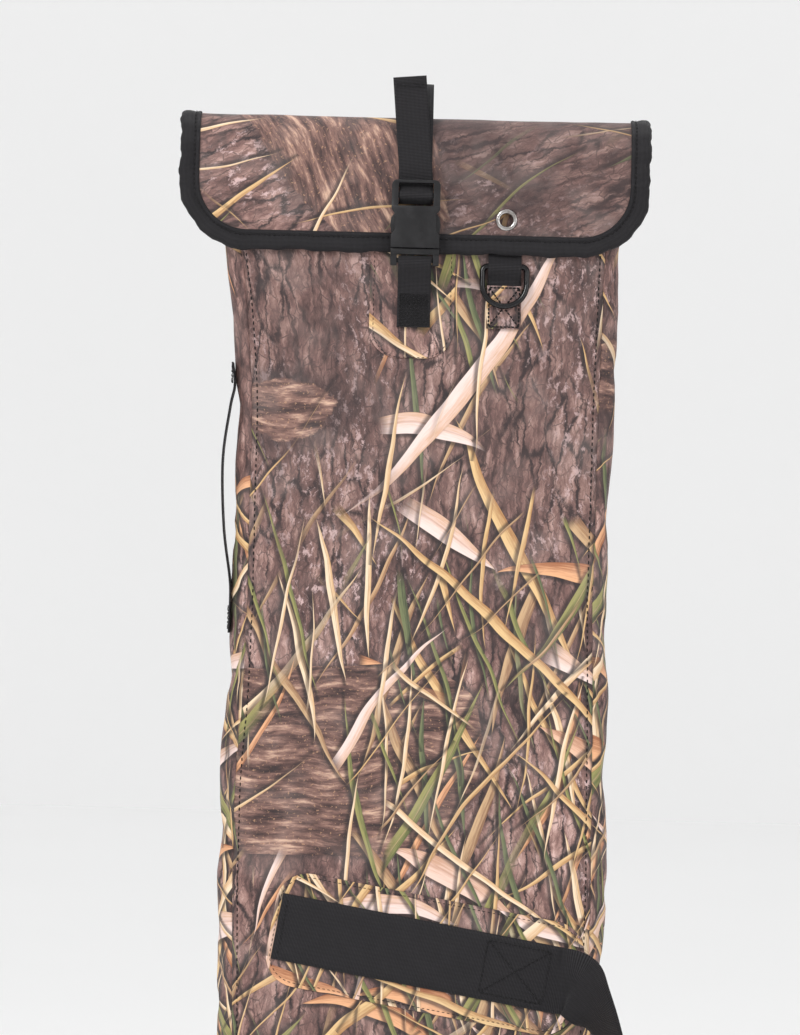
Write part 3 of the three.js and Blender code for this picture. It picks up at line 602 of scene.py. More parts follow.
CAMO_SIDE = laid_print("print_side", 3, (1.7, 0.2))
CAMO_FLAP = laid_print("print_flap", 68, (3.1, 2.15), 0.0, 0.45)
CAMO_PATCH = laid_print("print_patch", -14, (5.2, 1.4))
CAMO.node_tree.nodes["lay"].inputs["Location"].default_value = (0.37, 0.9, 0)
WEBBING = webbing_material("woven_webbing")
BINDING = webbing_material("binding_ribs", 0.0009, (19, 17, 20), 0.9)
THREAD = webbing_material("thread", 0.0006, (8, 7, 8), 0.5)
PLASTIC = plastic_material("moulded_black", (15, 14, 16), 0.38)
ENAMEL = plastic_material("gloss_black", (8, 7, 9), 0.12)
NICKEL = nickel_material()
LINING = cloth_material("lining_weave", (40, 40, 43))


def finish(obj, material, body, replaces=(), blend=None):
    obj.data.materials.clear()
    obj.data.materials.append(material)
    if replaces:
        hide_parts(*replaces)
    if blend:
        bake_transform(obj)
    else:
        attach(obj, body)
    return obj


def sew(name, rows, length, gap, radius, sink=0.1, body="case"):
    return finish(stitches(name, rows, length, gap, radius, sink), THREAD, body)


def webbing(name, line, body, node, width=25, thickness=1.4, across=(1, 0, 0),
            blend=None):
    """Webbing that stands for a CAD node, or for a list of them."""
    nodes = [node] if isinstance(node, str) else node
    obj = finish(band(name, line, across, width, thickness), WEBBING, body, nodes, blend)
    return obj


def tape_cloth(sections, over, column):
    """Cloth coordinates of a folded tape: over its section, and along the line through one of its columns."""
    shape = sections.shape[:2]
    along = run_along(sections[:, column])
    return np.stack([np.broadcast_to(over, shape), np.broadcast_to(along[:, None], shape)], -1)


# ---- Padded shell ----

FRONT_COLUMNS = ([(-1, -a, -1) for a in np.linspace(SEAM_ANGLE, 90, 7)]
                 + [(0, s, -1) for s in np.linspace(0, 1, 45)[1:-1]]
                 + [(1, -a, -1) for a in np.linspace(90, SEAM_ANGLE, 7)])
BACK_COLUMNS = [(side, -value, 1) if side else (0, value, 1) for side, value, _ in FRONT_COLUMNS]
GUSSET_ANGLES = np.linspace(-SEAM_ANGLE, SEAM_ANGLE, 15)
SHELL_ROWS = np.unique(np.r_[np.linspace(MOUTH_TOP, 60, 14), np.linspace(60, 1320, 230),
                             np.linspace(1320, SHELL_BOTTOM, 22)])
# Places where a patch is sewn on, so the shell lies flat: left, right, top and foot in mm
FLAT_ZONES = [(-38, 40, 92, 190), (52, 88, 80, 164), (-115, 130, 575, 715), (-90, 130, 1065, 1200)]


def flatness(x, depth):
    calm = np.zeros(np.broadcast(x, depth).shape)
    for left, right, top, foot in FLAT_ZONES:
        here = (smooth(x, left - 25, left) * smooth(-x, -right - 25, -right)
                * smooth(depth, top - 25, top) * smooth(-depth, -foot - 25, -foot))
        calm = np.maximum(calm, here)
    return calm


def pillow(columns, seed, front):
    """The sewn shell before it is fitted: soft fullness, and puckers that fade away from the long seams."""
    grid = np.stack([case_point(side, value, face, SHELL_ROWS, 0) for side, value, face in columns], 1)
    normal = unit(np.cross(np.gradient(grid, axis=0), np.gradient(grid, axis=1)))
    centre = np.zeros_like(grid)
    centre[..., 0] = (grid[:, :1, 0] + grid[:, -1:, 0]) / 2
    centre[..., 2] = grid[..., 2]
    normal *= np.sign(((grid - centre) * normal).sum(-1, keepdims=True))
    x, depth = grid[..., 0], -grid[..., 2]
    arc = np.cumsum(np.r_[0, np.linalg.norm(np.diff(grid[60], axis=0), axis=1)])
    from_seam = np.minimum(arc, arc[-1] - arc)[None, :]
    swell = 0.9 * waves(x, depth, seed, 60, 260) + 0.35 * waves(x, depth, seed + 1, 22, 60)
    pucker = np.exp(-from_seam / 9) * (0.5 * waves(x * 0, depth, seed + 2, 9, 20) + 0.25)
    groove = -0.9 * np.exp(-(from_seam / 2.2) ** 2)
    ends = smooth(depth, 24, 70) * smooth(-depth, -1352, -1300)
    lift = (swell * smooth(from_seam, 0, 22) + pucker) * ends + groove * smooth(depth, 20, 40)
    if front:
        lift *= 1 - flatness(x, depth)
    return grid + normal * lift[..., None], normal, arc


def shell_panel(name, columns, seed, front, cloth_shift):
    grid, normal, arc = pillow(columns, seed, front)
    grid = grid + normal * settled(grid, normal, front)[..., None]
    cloth = np.stack([np.broadcast_to(arc - arc[-1] / 2, grid.shape[:2]) + cloth_shift[0],
                      grid[..., 2] + cloth_shift[1]], -1)
    rows, columns_count = grid.shape[:2]
    faces = grid_faces(rows, columns_count)
    outer, inner = grid.reshape(-1, 3), (grid - normal * 1.1).reshape(-1, 3)
    return thick(name, outer, inner, faces, cloth.reshape(-1, 2)), grid, normal


def settled(grid, normal, front):
    """How far pressure and gravity move the panel along its normal, by cloth simulation on a coarser grid."""
    rows = np.arange(0, grid.shape[0], 2)
    columns = np.arange(0, grid.shape[1], 2)
    coarse = grid[np.ix_(rows, columns)]
    obj = mesh_object("settling", coarse.reshape(-1, 3), grid_faces(len(rows), len(columns)))
    pins = obj.vertex_groups.new(name="pins")
    count = len(columns)
    held = [r * count + c for r in range(len(rows)) for c in range(count)
            if c in (0, count - 1) or r in (0, len(rows) - 1)]
    pins.add(held, 1.0, "REPLACE")
    cloth = obj.modifiers.new("settle", "CLOTH")
    cloth.settings.vertex_group_mass = "pins"
    cloth.settings.quality = 6
    cloth.settings.tension_stiffness = 20
    cloth.settings.bending_stiffness = 2.0
    cloth.settings.use_pressure = True
    cloth.settings.uniform_pressure_force = 1.2 if front else 0.8
    cloth.settings.shrink_min = -0.006
    cloth.settings.effector_weights.gravity = 0.15
    scene.frame_start, scene.frame_end = 1, 20
    for f in range(1, 21):
        scene.frame_set(f)
    dg = bpy.context.evaluated_depsgraph_get()
    result = obj.evaluated_get(dg).to_mesh()
    co = np.zeros(len(result.vertices) * 3)
    result.vertices.foreach_get("co", co)
    moved = (co.reshape(coarse.shape) / MM - coarse)
    scene.frame_set(1)
    bpy.data.objects.remove(obj)
    lift = np.clip((moved * normal[np.ix_(rows, columns)]).sum(-1), -2.0, 2.0)
    r = np.interp(np.arange(grid.shape[0]), rows, np.arange(len(rows)))
    c = np.interp(np.arange(grid.shape[1]), columns, np.arange(len(columns)))
    r0, c0 = np.minimum(r.astype(int), len(rows) - 2), np.minimum(c.astype(int), len(columns) - 2)
    fr, fc = (r - r0)[:, None], (c - c0)[None, :]
    up = lift[r0][:, c0] * (1 - fc) + lift[r0][:, c0 + 1] * fc
    down = lift[r0 + 1][:, c0] * (1 - fc) + lift[r0 + 1][:, c0 + 1] * fc
    full = up * (1 - fr) + down * fr
    x, depth = grid[..., 0], -grid[..., 2]
    calm = 1 - flatness(x, depth) if front else 1.0
    return full * calm * smooth(depth, 110, 230)


front, front_grid, front_normal = shell_panel("padded_front", FRONT_COLUMNS, 11, True, (0, 0))
back, back_grid, back_normal = shell_panel("padded_back", BACK_COLUMNS, 23, False, (700, 120))
finish(front, CAMO, "case", ["front_panel", "front_foam"])
finish(back, CAMO, "case", ["back_panel", "back_foam"])
for label, side, seed in (("left", -1, 31), ("right", 1, 41)):
    columns = [(side, a, 0) for a in GUSSET_ANGLES]
    gusset, _, _ = shell_panel(f"padded_{label}_side", columns, seed, False, (1400 + 300 * side, 0))
    finish(gusset, CAMO_SIDE, "case", [f"{label}_gusset", f"{label}_foam"])

# Topstitching beside the long seams, on the front and the back
seam_rows = []
for grid, normal in ((front_grid, front_normal), (back_grid, back_normal)):
    keep = (-grid[:, 0, 2] > 14) & (-grid[:, 0, 2] < 1350)
    for a, b in ((1, 2), (-2, -3)):
        seam_rows.append(((grid[keep, a] * 0.6 + grid[keep, b] * 0.4), normal[keep, a]))
sew("seam_topstitch", seam_rows, 3.1, 1.6, 0.5)

# ---- Mouth and end ----

ROUND = (FRONT_COLUMNS + [(1, a, 0) for a in GUSSET_ANGLES[1:-1]] + BACK_COLUMNS[::-1]
         + [(-1, a, 0) for a in GUSSET_ANGLES[1:-1][::-1]])


def ring_of(depth, inset):
    """One turn round the case, all at one depth."""
    depth = np.array(float(depth))
    return np.stack([case_point(side, value, face, depth, inset) for side, value, face in ROUND])


lining_rows = np.r_[np.linspace(MOUTH_TOP, 70, 14), np.linspace(70, 1262, 90)[1:]]
pull = [1.9 + 9.3 * float(smooth(d, 30, 60)) for d in lining_rows]
outer = np.stack([ring_of(d, p) for d, p in zip(lining_rows, pull)])
inner = np.stack([ring_of(d, p + 0.8) for d, p in zip(lining_rows, pull)])
arc = np.cumsum(np.r_[0, np.linalg.norm(np.diff(outer[30], axis=0), axis=1)])
cloth = np.stack([np.broadcast_to(arc, outer.shape[:2]), outer[..., 2]], -1)
faces = grid_faces(len(lining_rows), len(ROUND), True)
lining = thick("lining_sleeve", outer.reshape(-1, 3), inner.reshape(-1, 3), faces, cloth.reshape(-1, 2))
finish(lining, LINING, "case", ["lining"])

# Section of the tape over the mouth: [inset, depth]
HEM = [(-1.4, 16.2), (-1.5, 12), (-1.4, 8.8), (-0.9, 7.8), (0.6, 7.4), (2.2, 7.4), (3.6, 7.8), (4.3, 8.8),
       (4.3, 12), (4.2, 16.2), (3.5, 16.3), (3.3, 12), (3.1, 9), (2.4, 8.5), (0.4, 8.5), (-0.4, 9),
       (-0.5, 12),
       (-0.6, 16.3)]
hem_sections = np.stack([np.stack([case_point(side, value, face, np.array(float(d)), i) for i, d in HEM])
                         for side, value, face in ROUND])
hem = loft("mouth_tape", hem_sections, tape_cloth(hem_sections, np.arange(len(HEM)) * 1.6, 0), True)
finish(hem, BINDING, "case", ["mouth_hem"])
mouth_line = ring_of(14.4, -1.45)
mouth_line = np.r_[mouth_line, mouth_line[:1]]
mouth_out = unit(mouth_line * (1, 1, 0) - (7.5, 0, 0)) * (0.3, 1, 0)
sew("mouth_stitches", [(mouth_line, mouth_out)], 2.4, 1.1, 0.3)


def end_route(steps):
    top, foot = CASE_LENGTH - END_CORNER, SHELL_BOTTOM + 0.3
    last = math.asin((foot - top) / END_CORNER)
    left, right = [], []
    for angle in np.linspace(0, last, steps):
        depth = top + END_CORNER * math.sin(angle)
        for side, table, route in ((-1, LEFT_EDGE, left), (1, RIGHT_EDGE, right)):
            x = float(edge(table, depth)) - side * float(end_rounding(np.array(depth)))
            route.append((x, depth, side * math.cos(angle), math.sin(angle)))
    middle = [(x, foot, 0, 1) for x in np.linspace(left[-1][0], right[-1][0], 60)[1:-1]]
    return left + middle + right[::-1]


route = end_route(14)
END_RING = [(1.1, 1.3), (-8.6, 1.35), (-9, 0.9), (-8.7, 0.3), (0.4, 0.3)]
sections = []
for x, depth, nx, nd in route:
    half = float(half_thickness(np.array(depth - 9.0)))
    profile = [(o, half + f) for o, f in END_RING] + [(o, -half - f) for o, f in END_RING[::-1]]
    profile += [(1.5, -half), (1.6, 0.0), (1.5, half)]
    sections.append([(x + nx * o, y, -(depth + nd * o)) for o, y in profile])
sections = np.array(sections, float)
end_tape = loft("end_tape", sections, tape_cloth(sections, np.arange(sections.shape[1]) * 2.0, 0))
finish(end_tape, BINDING, "case", ["end_binding"])
end_rows = []
for face in (-1, 1):
    line = [(x - nx * 5.6, face * (float(half_thickness(np.array(d - 9.0))) + 1.35), -(d - nd * 5.6))
            for x, d, nx, nd in route]
    end_rows.append((np.array(line), (0, face, 0)))
sew("end_stitches", end_rows, 2.6, 1.2, 0.3)

# ---- Flap ----

HALF_OVAL = 82.0
BACK_RUN = FLAP_BACK_END - FLAP_RISE
FLAP_LENGTH = BACK_RUN + HALF_OVAL + FLAP_BOTTOM - FLAP_RISE
CORNER_START = FLAP_LENGTH - FLAP_CORNER


def flap_point(x, run, inset):
    """A point of the flap: x, the distance along it from its hinge, and the depth below its outer face."""
    x, run, inset = np.broadcast_arrays(*(np.asarray(v, float) for v in (x, run, inset)))
    angle = np.pi * (np.clip(run, BACK_RUN, BACK_RUN + HALF_OVAL) - BACK_RUN) / HALF_OVAL
    y = (FLAP_FRONT - inset) * np.cos(angle)
    z = -FLAP_RISE + (FLAP_RISE - inset) * np.sin(angle)
    z = np.where(run < BACK_RUN, -FLAP_BACK_END + run, z)
    z = np.where(run > BACK_RUN + HALF_OVAL, -FLAP_RISE - (run - BACK_RUN - HALF_OVAL), z)
    return np.stack([x, y, z], -1)


def corner_in(run):
    into = np.clip(run - CORNER_START, 0, FLAP_CORNER)
    return FLAP_CORNER - np.sqrt(FLAP_CORNER ** 2 - into ** 2)


def flap_wave(x, run):
    """Small unevenness of the sewn flap, less at its hinge."""
    return (0.35 * waves(x, run, 71, 40, 170) + 0.12 * waves(x, run, 72, 14, 40)) * smooth(run, 0, 40)


FLAP_RUNS = np.r_[np.linspace(0, CORNER_START, 54), CORNER_START + FLAP_CORNER * np.sin(
    np.radians(np.linspace(0, 88, 24)[1:]))]
FLAP_COLUMNS = 150


def flap_layer(name, top, foot, seed):
    share = np.linspace(0, 1, FLAP_COLUMNS)[None, :]
    run = FLAP_RUNS[:, None] + 0 * share
    x = FLAP_LEFT + corner_in(run) + (FLAP_RIGHT - FLAP_LEFT - 2 * corner_in(run)) * share
    inset = -0.8 * flap_wave(x, run)
    outer, inner = flap_point(x, run, top + inset), flap_point(x, run, foot + inset)
    faces = grid_faces(*run.shape)
    flat = outer.reshape(-1, 3)
    centre = np.array([GROMMET_X, -FLAP_FRONT, -GROMMET_DEPTH])
    away = np.linalg.norm((flat - centre)[:, [0, 2]], axis=1) + 1e3 * (flat[:, 1] > 0)
    faces = [f.tolist() for f in faces if away[f].min() > 5.3]
    near = away < 9
    rim = {i for a, b in open_edges(faces) if near[a] and near[b] for i in (a, b)}
    for layer in (flat, inner.reshape(-1, 3)):
        for i in rim:
            d = layer[i] - centre
            size = math.hypot(d[0], d[2])
            layer[i][0], layer[i][2] = centre[0] + d[0] / size * 5.6, centre[2] + d[2] / size * 5.6
    cloth = np.stack([x, -run + seed], -1).reshape(-1, 2)
    return thick(name, flat, inner.reshape(-1, 3), faces, cloth)


flap = finish(flap_layer("flap_cloth", 0, 0.9, 0), CAMO_FLAP, "flap", ["flap_outer"])
under = finish(flap_layer("flap_under", 1.2, 2.1, 0), LINING, "flap", ["flap_lining"])


def flap_route():
    """The flap's edge from hinge to hinge: x, distance from the hinge, and the direction outward."""
    left, right = [], []
    for side, at, route in ((-1, FLAP_LEFT, left), (1, FLAP_RIGHT, right)):
        route += [(at, r, side, 0) for r in np.linspace(0, CORNER_START, 44)[:-1]]
        route += [(at + side * FLAP_CORNER * (math.cos(a) - 1), CORNER_START + FLAP_CORNER * math.sin(a),
                   side * math.cos(a), math.sin(a)) for a in np.radians(np.linspace(0, 90, 22))]
    middle = [(x, FLAP_LENGTH, 0, 1) for x in np.linspace(left[-1][0], right[-1][0], 66)[1:-1]]
    return left + middle + right[::-1]


# The folded tape's own section: [distance out from the cloth's edge, depth inward from the flap's face]
TAPE = [(-13.5, -0.55), (-13.3, -1.25), (-12.4, -1.75), (-11, -1.6), (-9.9, -1.1), (-9.2, -1.08), (-8, -1.6),
        (-5, -2.2), (-2, -2.15), (-0.4, -1.6), (0.7, -0.7), (1.3, 0.3), (1.4, 1.2), (1.3, 2.1), (0.7, 2.9),
        (-0.4, 3.3), (-2, 3.45), (-8, 3.4), (-13.2, 3.35), (-13.5, 2.9), (-13.3, 2.45), (-6, 2.4), (0.2, 2.2),
        (0.3, 1.2), (0.2, -0.2), (-6, -0.3), (-13.2, -0.3)]
route = np.array(flap_route())
sections = []
for i, (x, run, nx, nr) in enumerate(route):
    wave = -0.8 * float(flap_wave(x, run))
    plump = 1 + 0.3 * math.sin(i * 0.9) * math.sin(i * 0.37)
    spread_by = 0.035 * (math.sin(i * 0.31 + 1) + math.sin(i * 0.83)) + 0.02 * math.sin(i * 1.9)
    ring = [(o + spread_by * (o + 13.5), (f * plump if f < -0.7 else f) + wave) for o, f in TAPE]
    sections.append([flap_point(x + nx * o, run + nr * o, f) for o, f in ring])
sections = np.array(sections)
tape = loft("flap_tape", sections, tape_cloth(sections, [o if f < 1.3 else 14 - o for o, f in TAPE], 8))
finish(tape, BINDING, "flap", ["flap_binding"])
tape_line = sections[:, 4] * 0.5 + sections[:, 5] * 0.5
tape_out = unit(np.cross(np.gradient(sections[:, 4], axis=0), sections[:, 2] - sections[:, 7]))
tape_out *= np.sign((tape_out * (sections[:, 4] - sections[:, 17])).sum(-1, keepdims=True))
sew("flap_stitches", [(tape_line, tape_out)], 2.5, 1.2, 0.42, -0.2, "flap")

# The flap's sewn end turns down on the back, between the case and the flap
hinge_line = catmull([(7, 17.5, -57.6), (7, 17.5, -50), (7, 17.5, -42), (7, 18.2, -37), (7, 19.8, -33.4),
                      (7, 20.6, -30), (7, 20.6, -27)], 24)
hinge = band("flap_hinge", hinge_line, (1, 0, 0), 292, 1.6)
finish(hinge, CAMO_FLAP, None, ["hinge_band"],
       ("case", "flap", (0, 0.0176, -0.037), (0, 0.0206, -0.0305)))
hinge_rows = [(np.array([(x, 18.45, z) for x in np.linspace(-136, 150, 120)]), (0, 1, 0))
              for z in (-54.5, -48.5)]
sew("hinge_stitches", hinge_rows, 2.6, 1.2, 0.3)


# ---- Grommet ----

def lathe(name, profile, x, depth, count=72):
    """A ring round the grommet's axis, from a closed profile of (radius, distance in front of the neck)."""
    angles = np.linspace(0, 2 * math.pi, count, endpoint=False)
    sections = np.array([[(x + r * math.cos(a), -NECK - f, -depth + r * math.sin(a)) for r, f in profile]
                         for a in angles])
    return loft(name, sections, sections[..., [0, 2]], True)


EYELET = [(4.8, 2.2), (5.2, 2.2), (5.2, 5.5), (5.6, 5.85), (7.7, 5.85), (8.05, 6.05), (8.1, 6.3), (7.9, 6.62),
          (7.4, 6.95), (6.8, 7.12), (6.2, 7.1), (5.6, 6.9), (5.15, 6.5), (4.9, 5.9), (4.8, 5.2)]
finish(lathe("eyelet", EYELET, GROMMET_X, GROMMET_DEPTH), NICKEL, "flap", ["grommet_eyelet"])
WASHER = [(5.5, 2.45), (5.7, 2.35), (7.6, 2.4), (8.1, 2.7), (8.0, 3.1), (7.4, 3.2), (5.7, 3.2), (5.5, 3.1)]
finish(lathe("washer", WASHER, GROMMET_X, GROMMET_DEPTH), NICKEL, "flap", ["grommet_washer"])

# ---- Webbing of the closure ----


def side_view(knots, count, x):
    """A line in a plane of constant x, from [distance in front of the neck, depth] knots."""
    line = catmull(knots, count)
    return np.stack([np.full(count, float(x)), -NECK - line[:, 0], -line[:, 1]], -1)


strap_f = FLAP_FRONT - NECK + 1.0
back_f = -2 * NECK - strap_f
closure = side_view([(back_f, 30), (back_f + 0.1, 20), (back_f + 3, -2), (back_f + 13.5, -21), (-NECK, -25.3),
                     (strap_f - 13.5, -21), (strap_f - 3, -2), (strap_f - 0.1, 20), (strap_f, 32),
                     (strap_f, 54)], 110, 1)
webbing("closure_webbing", closure, "flap", "closure_strap")
sewn_f = -2 * NECK - 3.6
anchor = side_view([(sewn_f, 96), (sewn_f, 66), (sewn_f, 46), (sewn_f - 0.3, 38), (back_f + 0.6, 33),
                    (back_f, 30), (back_f, 27)], 44, 1)
webbing("closure_webbing_end", anchor, None, "strap_anchor",
        blend=("case", "flap", (0, 0.0196, -0.038), (0, 0.0226, -0.0305)))


def box_stitch(name, corners, normal, length=2.3, gap=1.0, radius=0.36):
    """A sewn box with a cross in it."""
    a, b, c, d = (np.array(p, float) for p in corners)
    lines = [(a, b), (b, c), (c, d), (d, a), (a, c), (b, d)]
    rows = [(np.array([p + (q - p) * t for t in np.linspace(0, 1, 12)]), normal) for p, q in lines]
    return sew(name, rows, length, gap, radius)


corners = [(x, 20.35, z) for x, z in ((-8.5, -44), (10.5, -44), (10.5, -92), (-8.5, -92))]
box_stitch("anchor_stitches", corners, (0, 1, 0))

tail_f = strap_f + 1.8
tail = side_view([(tail_f, -28.8), (tail_f, 0), (tail_f, 24), (tail_f, 38), (tail_f, 46), (tail_f, 51.3),
                  (9.6, 54), (12.3, 56.6), (14.4, 58.4), (15, 60.5), (14.4, 62.6), (12.3, 64.4), (9.8, 66.6)],
                 90, BUCKLE_X)
tail[:, 0] -= 0.088 * np.maximum(0, tail[:, 2] + 50)
tail_z = tail[:, 2]
tail[:, 1] -= 0.5 * smooth(tail_z, -20, 10) * np.sin((tail_z + 20) / 17.0) * smooth(-tail_z, -29, -10)
webbing("tail_webbing", tail, "flap", "strap_tail",
        thickness=1.4 + 0.9 * smooth(tail_z, 21.6, 22.6))
top = tail[tail[:, 2] > 22][-1]
hem_line = np.array([(top[0] + s, top[1] - 1.2, 23.4) for s in np.linspace(-10.8, 10.8, 12)])
sew("tail_hem_stitches", [(hem_line, (0, -1, 0)), (hem_line - (0, 0, 2.2), (0, -1, 0))], 2.0, 0.7, 0.3,
    body="flap")

# The webbing folded round the plug's bar and sewn down: [distance in front of the neck, depth]
LOWER = [(3.9, 158.8), (3.9, 146), (3.9, 134), (9, 122), (14.5, 114), (15.8, 110.3), (14.8, 107.4),
         (12.5, 106.2), (10.2, 107.4), (9.2, 110.3), (7.8, 115), (4, 125), (2.1, 134), (2.1, 146),
         (2.1, 158.8)]
lower = webbing("lower_webbing", side_view(LOWER, 120, BUCKLE_X + 0.3), "case", "lower_buckle_strap")
bar_rows = []
for k, depth in enumerate(np.linspace(134.6, 157.4, 13)):
    zig = [(BUCKLE_X + 0.3 + x, -NECK - 4.65, -(depth + 0.9 * (-1) ** (i + k))) for i, x in
           enumerate(np.linspace(-11.2, 11.2, 15))]
    bar_rows.append((np.array(zig), (0, -1, 0)))
block = sew("lower_stitches", bar_rows, 1.9, 0.25, 0.42)
for obj in (lower, block):
    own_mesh(obj)

# ---- Patches ----


def u_outline(left, right, top, bottom, radius, steps=12):
    points = [(left, top)]
    for side, at, turn in ((-1, left, np.linspace(0, 90, steps)), (1, right, np.linspace(90, 0, steps))):
        for a in np.radians(turn):
            points.append((at + side * radius * (math.cos(a) - 1), bottom - radius + radius * math.sin(a)))
    return points + [(right, top)]


def round_outline(width, height, radius, steps=10):
    points = []
    for sx, sy, start in ((1, 1, 0), (-1, 1, 90), (-1, -1, 180), (1, -1, 270)):
        for a in np.radians(np.linspace(start, start + 90, steps)):
            points.append((sx * (width / 2 - radius) + radius * math.cos(a),
                           sy * (height / 2 - radius) + radius * math.sin(a)))
    return points


def patch_stitches(name, outline, y, inset):
    line = np.array(outline, float)
    centre = line.mean(0)
    size = np.abs(line - centre).max(0)
    line = centre + (line - centre) * (1 - inset / size)
    line = np.stack([line[:, 0], np.full(len(line), y), -line[:, 1]], -1)
    return sew(name, [(line, (0, -1, 0))], 2.4, 1.2, 0.26)


outline = u_outline(-31, 33, 98, 182, 22)
patch = finish(outline_plate("sewn_patch_buckle", outline, -NECK - 0.3, 0.8, (400, 60)), CAMO_PATCH, "case",
               ["buckle_patch"])
patch_stitches("patch_stitches_buckle", outline, -NECK - 1.1, 3.0)

tab_knots = [(1.2, 84), (1.2, 96), (1.3, 103), (4, 107), (6, 110.6), (6, 113.5), (4, 117.5), (1.4, 122),
             (1.2, 128), (1.2, 155)]
webbing("ring_tab", side_view(tab_knots, 70, RING_X), "case", "d_ring_tab",
        thickness=1.3)
corners = [(RING_X + x, depth) for x, depth in ((-13, 126), (13, 126), (13, 158.5), (-13, 158.5))]
ring_patch = outline_plate("sewn_patch_ring", corners, -NECK - 2.1, 0.9, (200, 300))
finish(ring_patch, CAMO, "case", ["d_ring_patch"])
corners = [(RING_X + x, -NECK - 3.1, z)
           for x, z in ((-11.4, -127.6), (11.4, -127.6), (11.4, -157), (-11.4, -157))]
box_stitch("ring_stitches", corners, (0, -1, 0), 2.6, 0.3, 0.62)


# ---- D-ring ----

def d_ring():
    half, corner, side, drop, wire = 16.7, 4.0, 13.3, 30.3, 2.2
    points = []
    for cx, cz, rx, rz, a0, a1, count in ((half - corner, -corner, corner, corner, 90, 0, 8),
                                          (0, -side, half, drop - side, 0, -180, 40),
                                          (corner - half, -corner, corner, corner, 180, 90, 8)):
        points += [(cx + rx * math.cos(a), cz + rz * math.sin(a))
                   for a in np.radians(np.linspace(a0, a1, count))]
    line = np.array(points)
    bar = np.linspace(line[-1], line[0], 14)[1:-1]
    line = np.r_[line, bar]
    tangent = unit(np.roll(line, -1, 0) - np.roll(line, 1, 0))
    tilt = math.radians(7)
    sections = []
    for (x, z), (tx, tz) in zip(line, tangent):
        ring = []
        for a in np.linspace(0, 2 * math.pi, 16, endpoint=False):
            out, y = wire * math.cos(a), wire * math.sin(a)
            px, pz = x - tz * out, z + tx * out
            ring.append((RING_X + px, -NECK - 2.8 + y * math.cos(tilt) + pz * math.sin(tilt),
                         -RING_DEPTH - y * math.sin(tilt) + pz * math.cos(tilt)))
        sections.append(ring)
    sections = np.array(sections)
    return loft("ring_of_black_steel", sections, sections[..., [0, 2]], True)


finish(d_ring(), ENAMEL, "d_ring", ["d_ring"])


# ---- Buckle: the CAD solids with their edges broken and their surfaces refined ----

def refined(node, name, bevel, body):
    """A CAD node of the buckle, with its edges rounded."""
    bm = bmesh.new()
    bm.from_mesh(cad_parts[node].data)
    bmesh.ops.remove_doubles(bm, verts=bm.verts, dist=1e-5)
    bmesh.ops.dissolve_limit(bm, angle_limit=0.02, verts=bm.verts, edges=bm.edges)
    mesh = bpy.data.meshes.new(name)
    bm.to_mesh(mesh)
    bm.free()
    obj = bpy.data.objects.new(name, mesh)
    scene.collection.objects.link(obj)
    mod = obj.modifiers.new("edges", "BEVEL")
    mod.width, mod.segments = bevel * MM, 3
    mod.limit_method, mod.angle_limit = "ANGLE", math.radians(30)
    mod.use_clamp_overlap = True
    mesh.shade_smooth()
    return finish(obj, PLASTIC, body, [node])


refined("buckle_socket", "buckle_upper", 0.55, "flap")
refined("buckle_plug", "buckle_lower", 0.6, "plug")
for label in ("left", "right"):
    refined(f"{label}_prong", f"{label}_spring_prong", 0.5, f"{label}_prong")

# ---- Sling ----

# Knots of the free sling: [x, y, depth, turn of its width out of the case's face in degrees]
SLING_Y = -27 - 1.6 - 0.8
SLING_TOP = [(123.8, SLING_Y, 645.6, 0), (136, -37, 648, 14), (149, -52, 662, 48), (160, -56, 682, 66),
             (173, -55, 715, 74), (195, -53, 770, 80), (217, -52, 830, 84)]
MIDDLE = (SLING_UPPER + SLING_LOWER) / 2


def sling_line():
    """The whole length of the sling: the upper sewn end, the free loop and the lower sewn end."""
    slope = math.tan(math.radians(SLING_SLOPE))
    free = [*SLING_TOP, (226, -52, MIDDLE, 86)]
    free += [(x, y, 2 * MIDDLE - d, t) for x, y, d, t in SLING_TOP[::-1]]
    loop = catmull(free, 190)
    first = [(x, SLING_Y, SLING_UPPER - (SLING_X - x) * slope, 0) for x in np.linspace(-88.5, 121, 84)]
    last = [(x, SLING_Y, SLING_LOWER + (SLING_X - x) * slope, 0) for x in np.linspace(121, -58, 72)]
    return np.r_[first, loop, last]


path = sling_line()
line = np.stack([path[:, 0], path[:, 1], -path[:, 2]], -1)
tangent = unit(np.gradient(line, axis=0))
turn = np.radians(path[:, 3])[:, None]
flat = unit(np.stack([-tangent[:, 2], np.zeros(len(line)), tangent[:, 0]], -1))
across = flat * np.cos(turn) + np.array([0, -1.0, 0]) * np.sin(turn)
webbing("sling_webbing", line, None, ["sling_strap", "sling_anchor_upper", "sling_anchor_lower"],
        50, 1.6, across,
        ("case", "sling", (0.1172, -0.0294, 0), (0.1226, -0.0294, 0)))

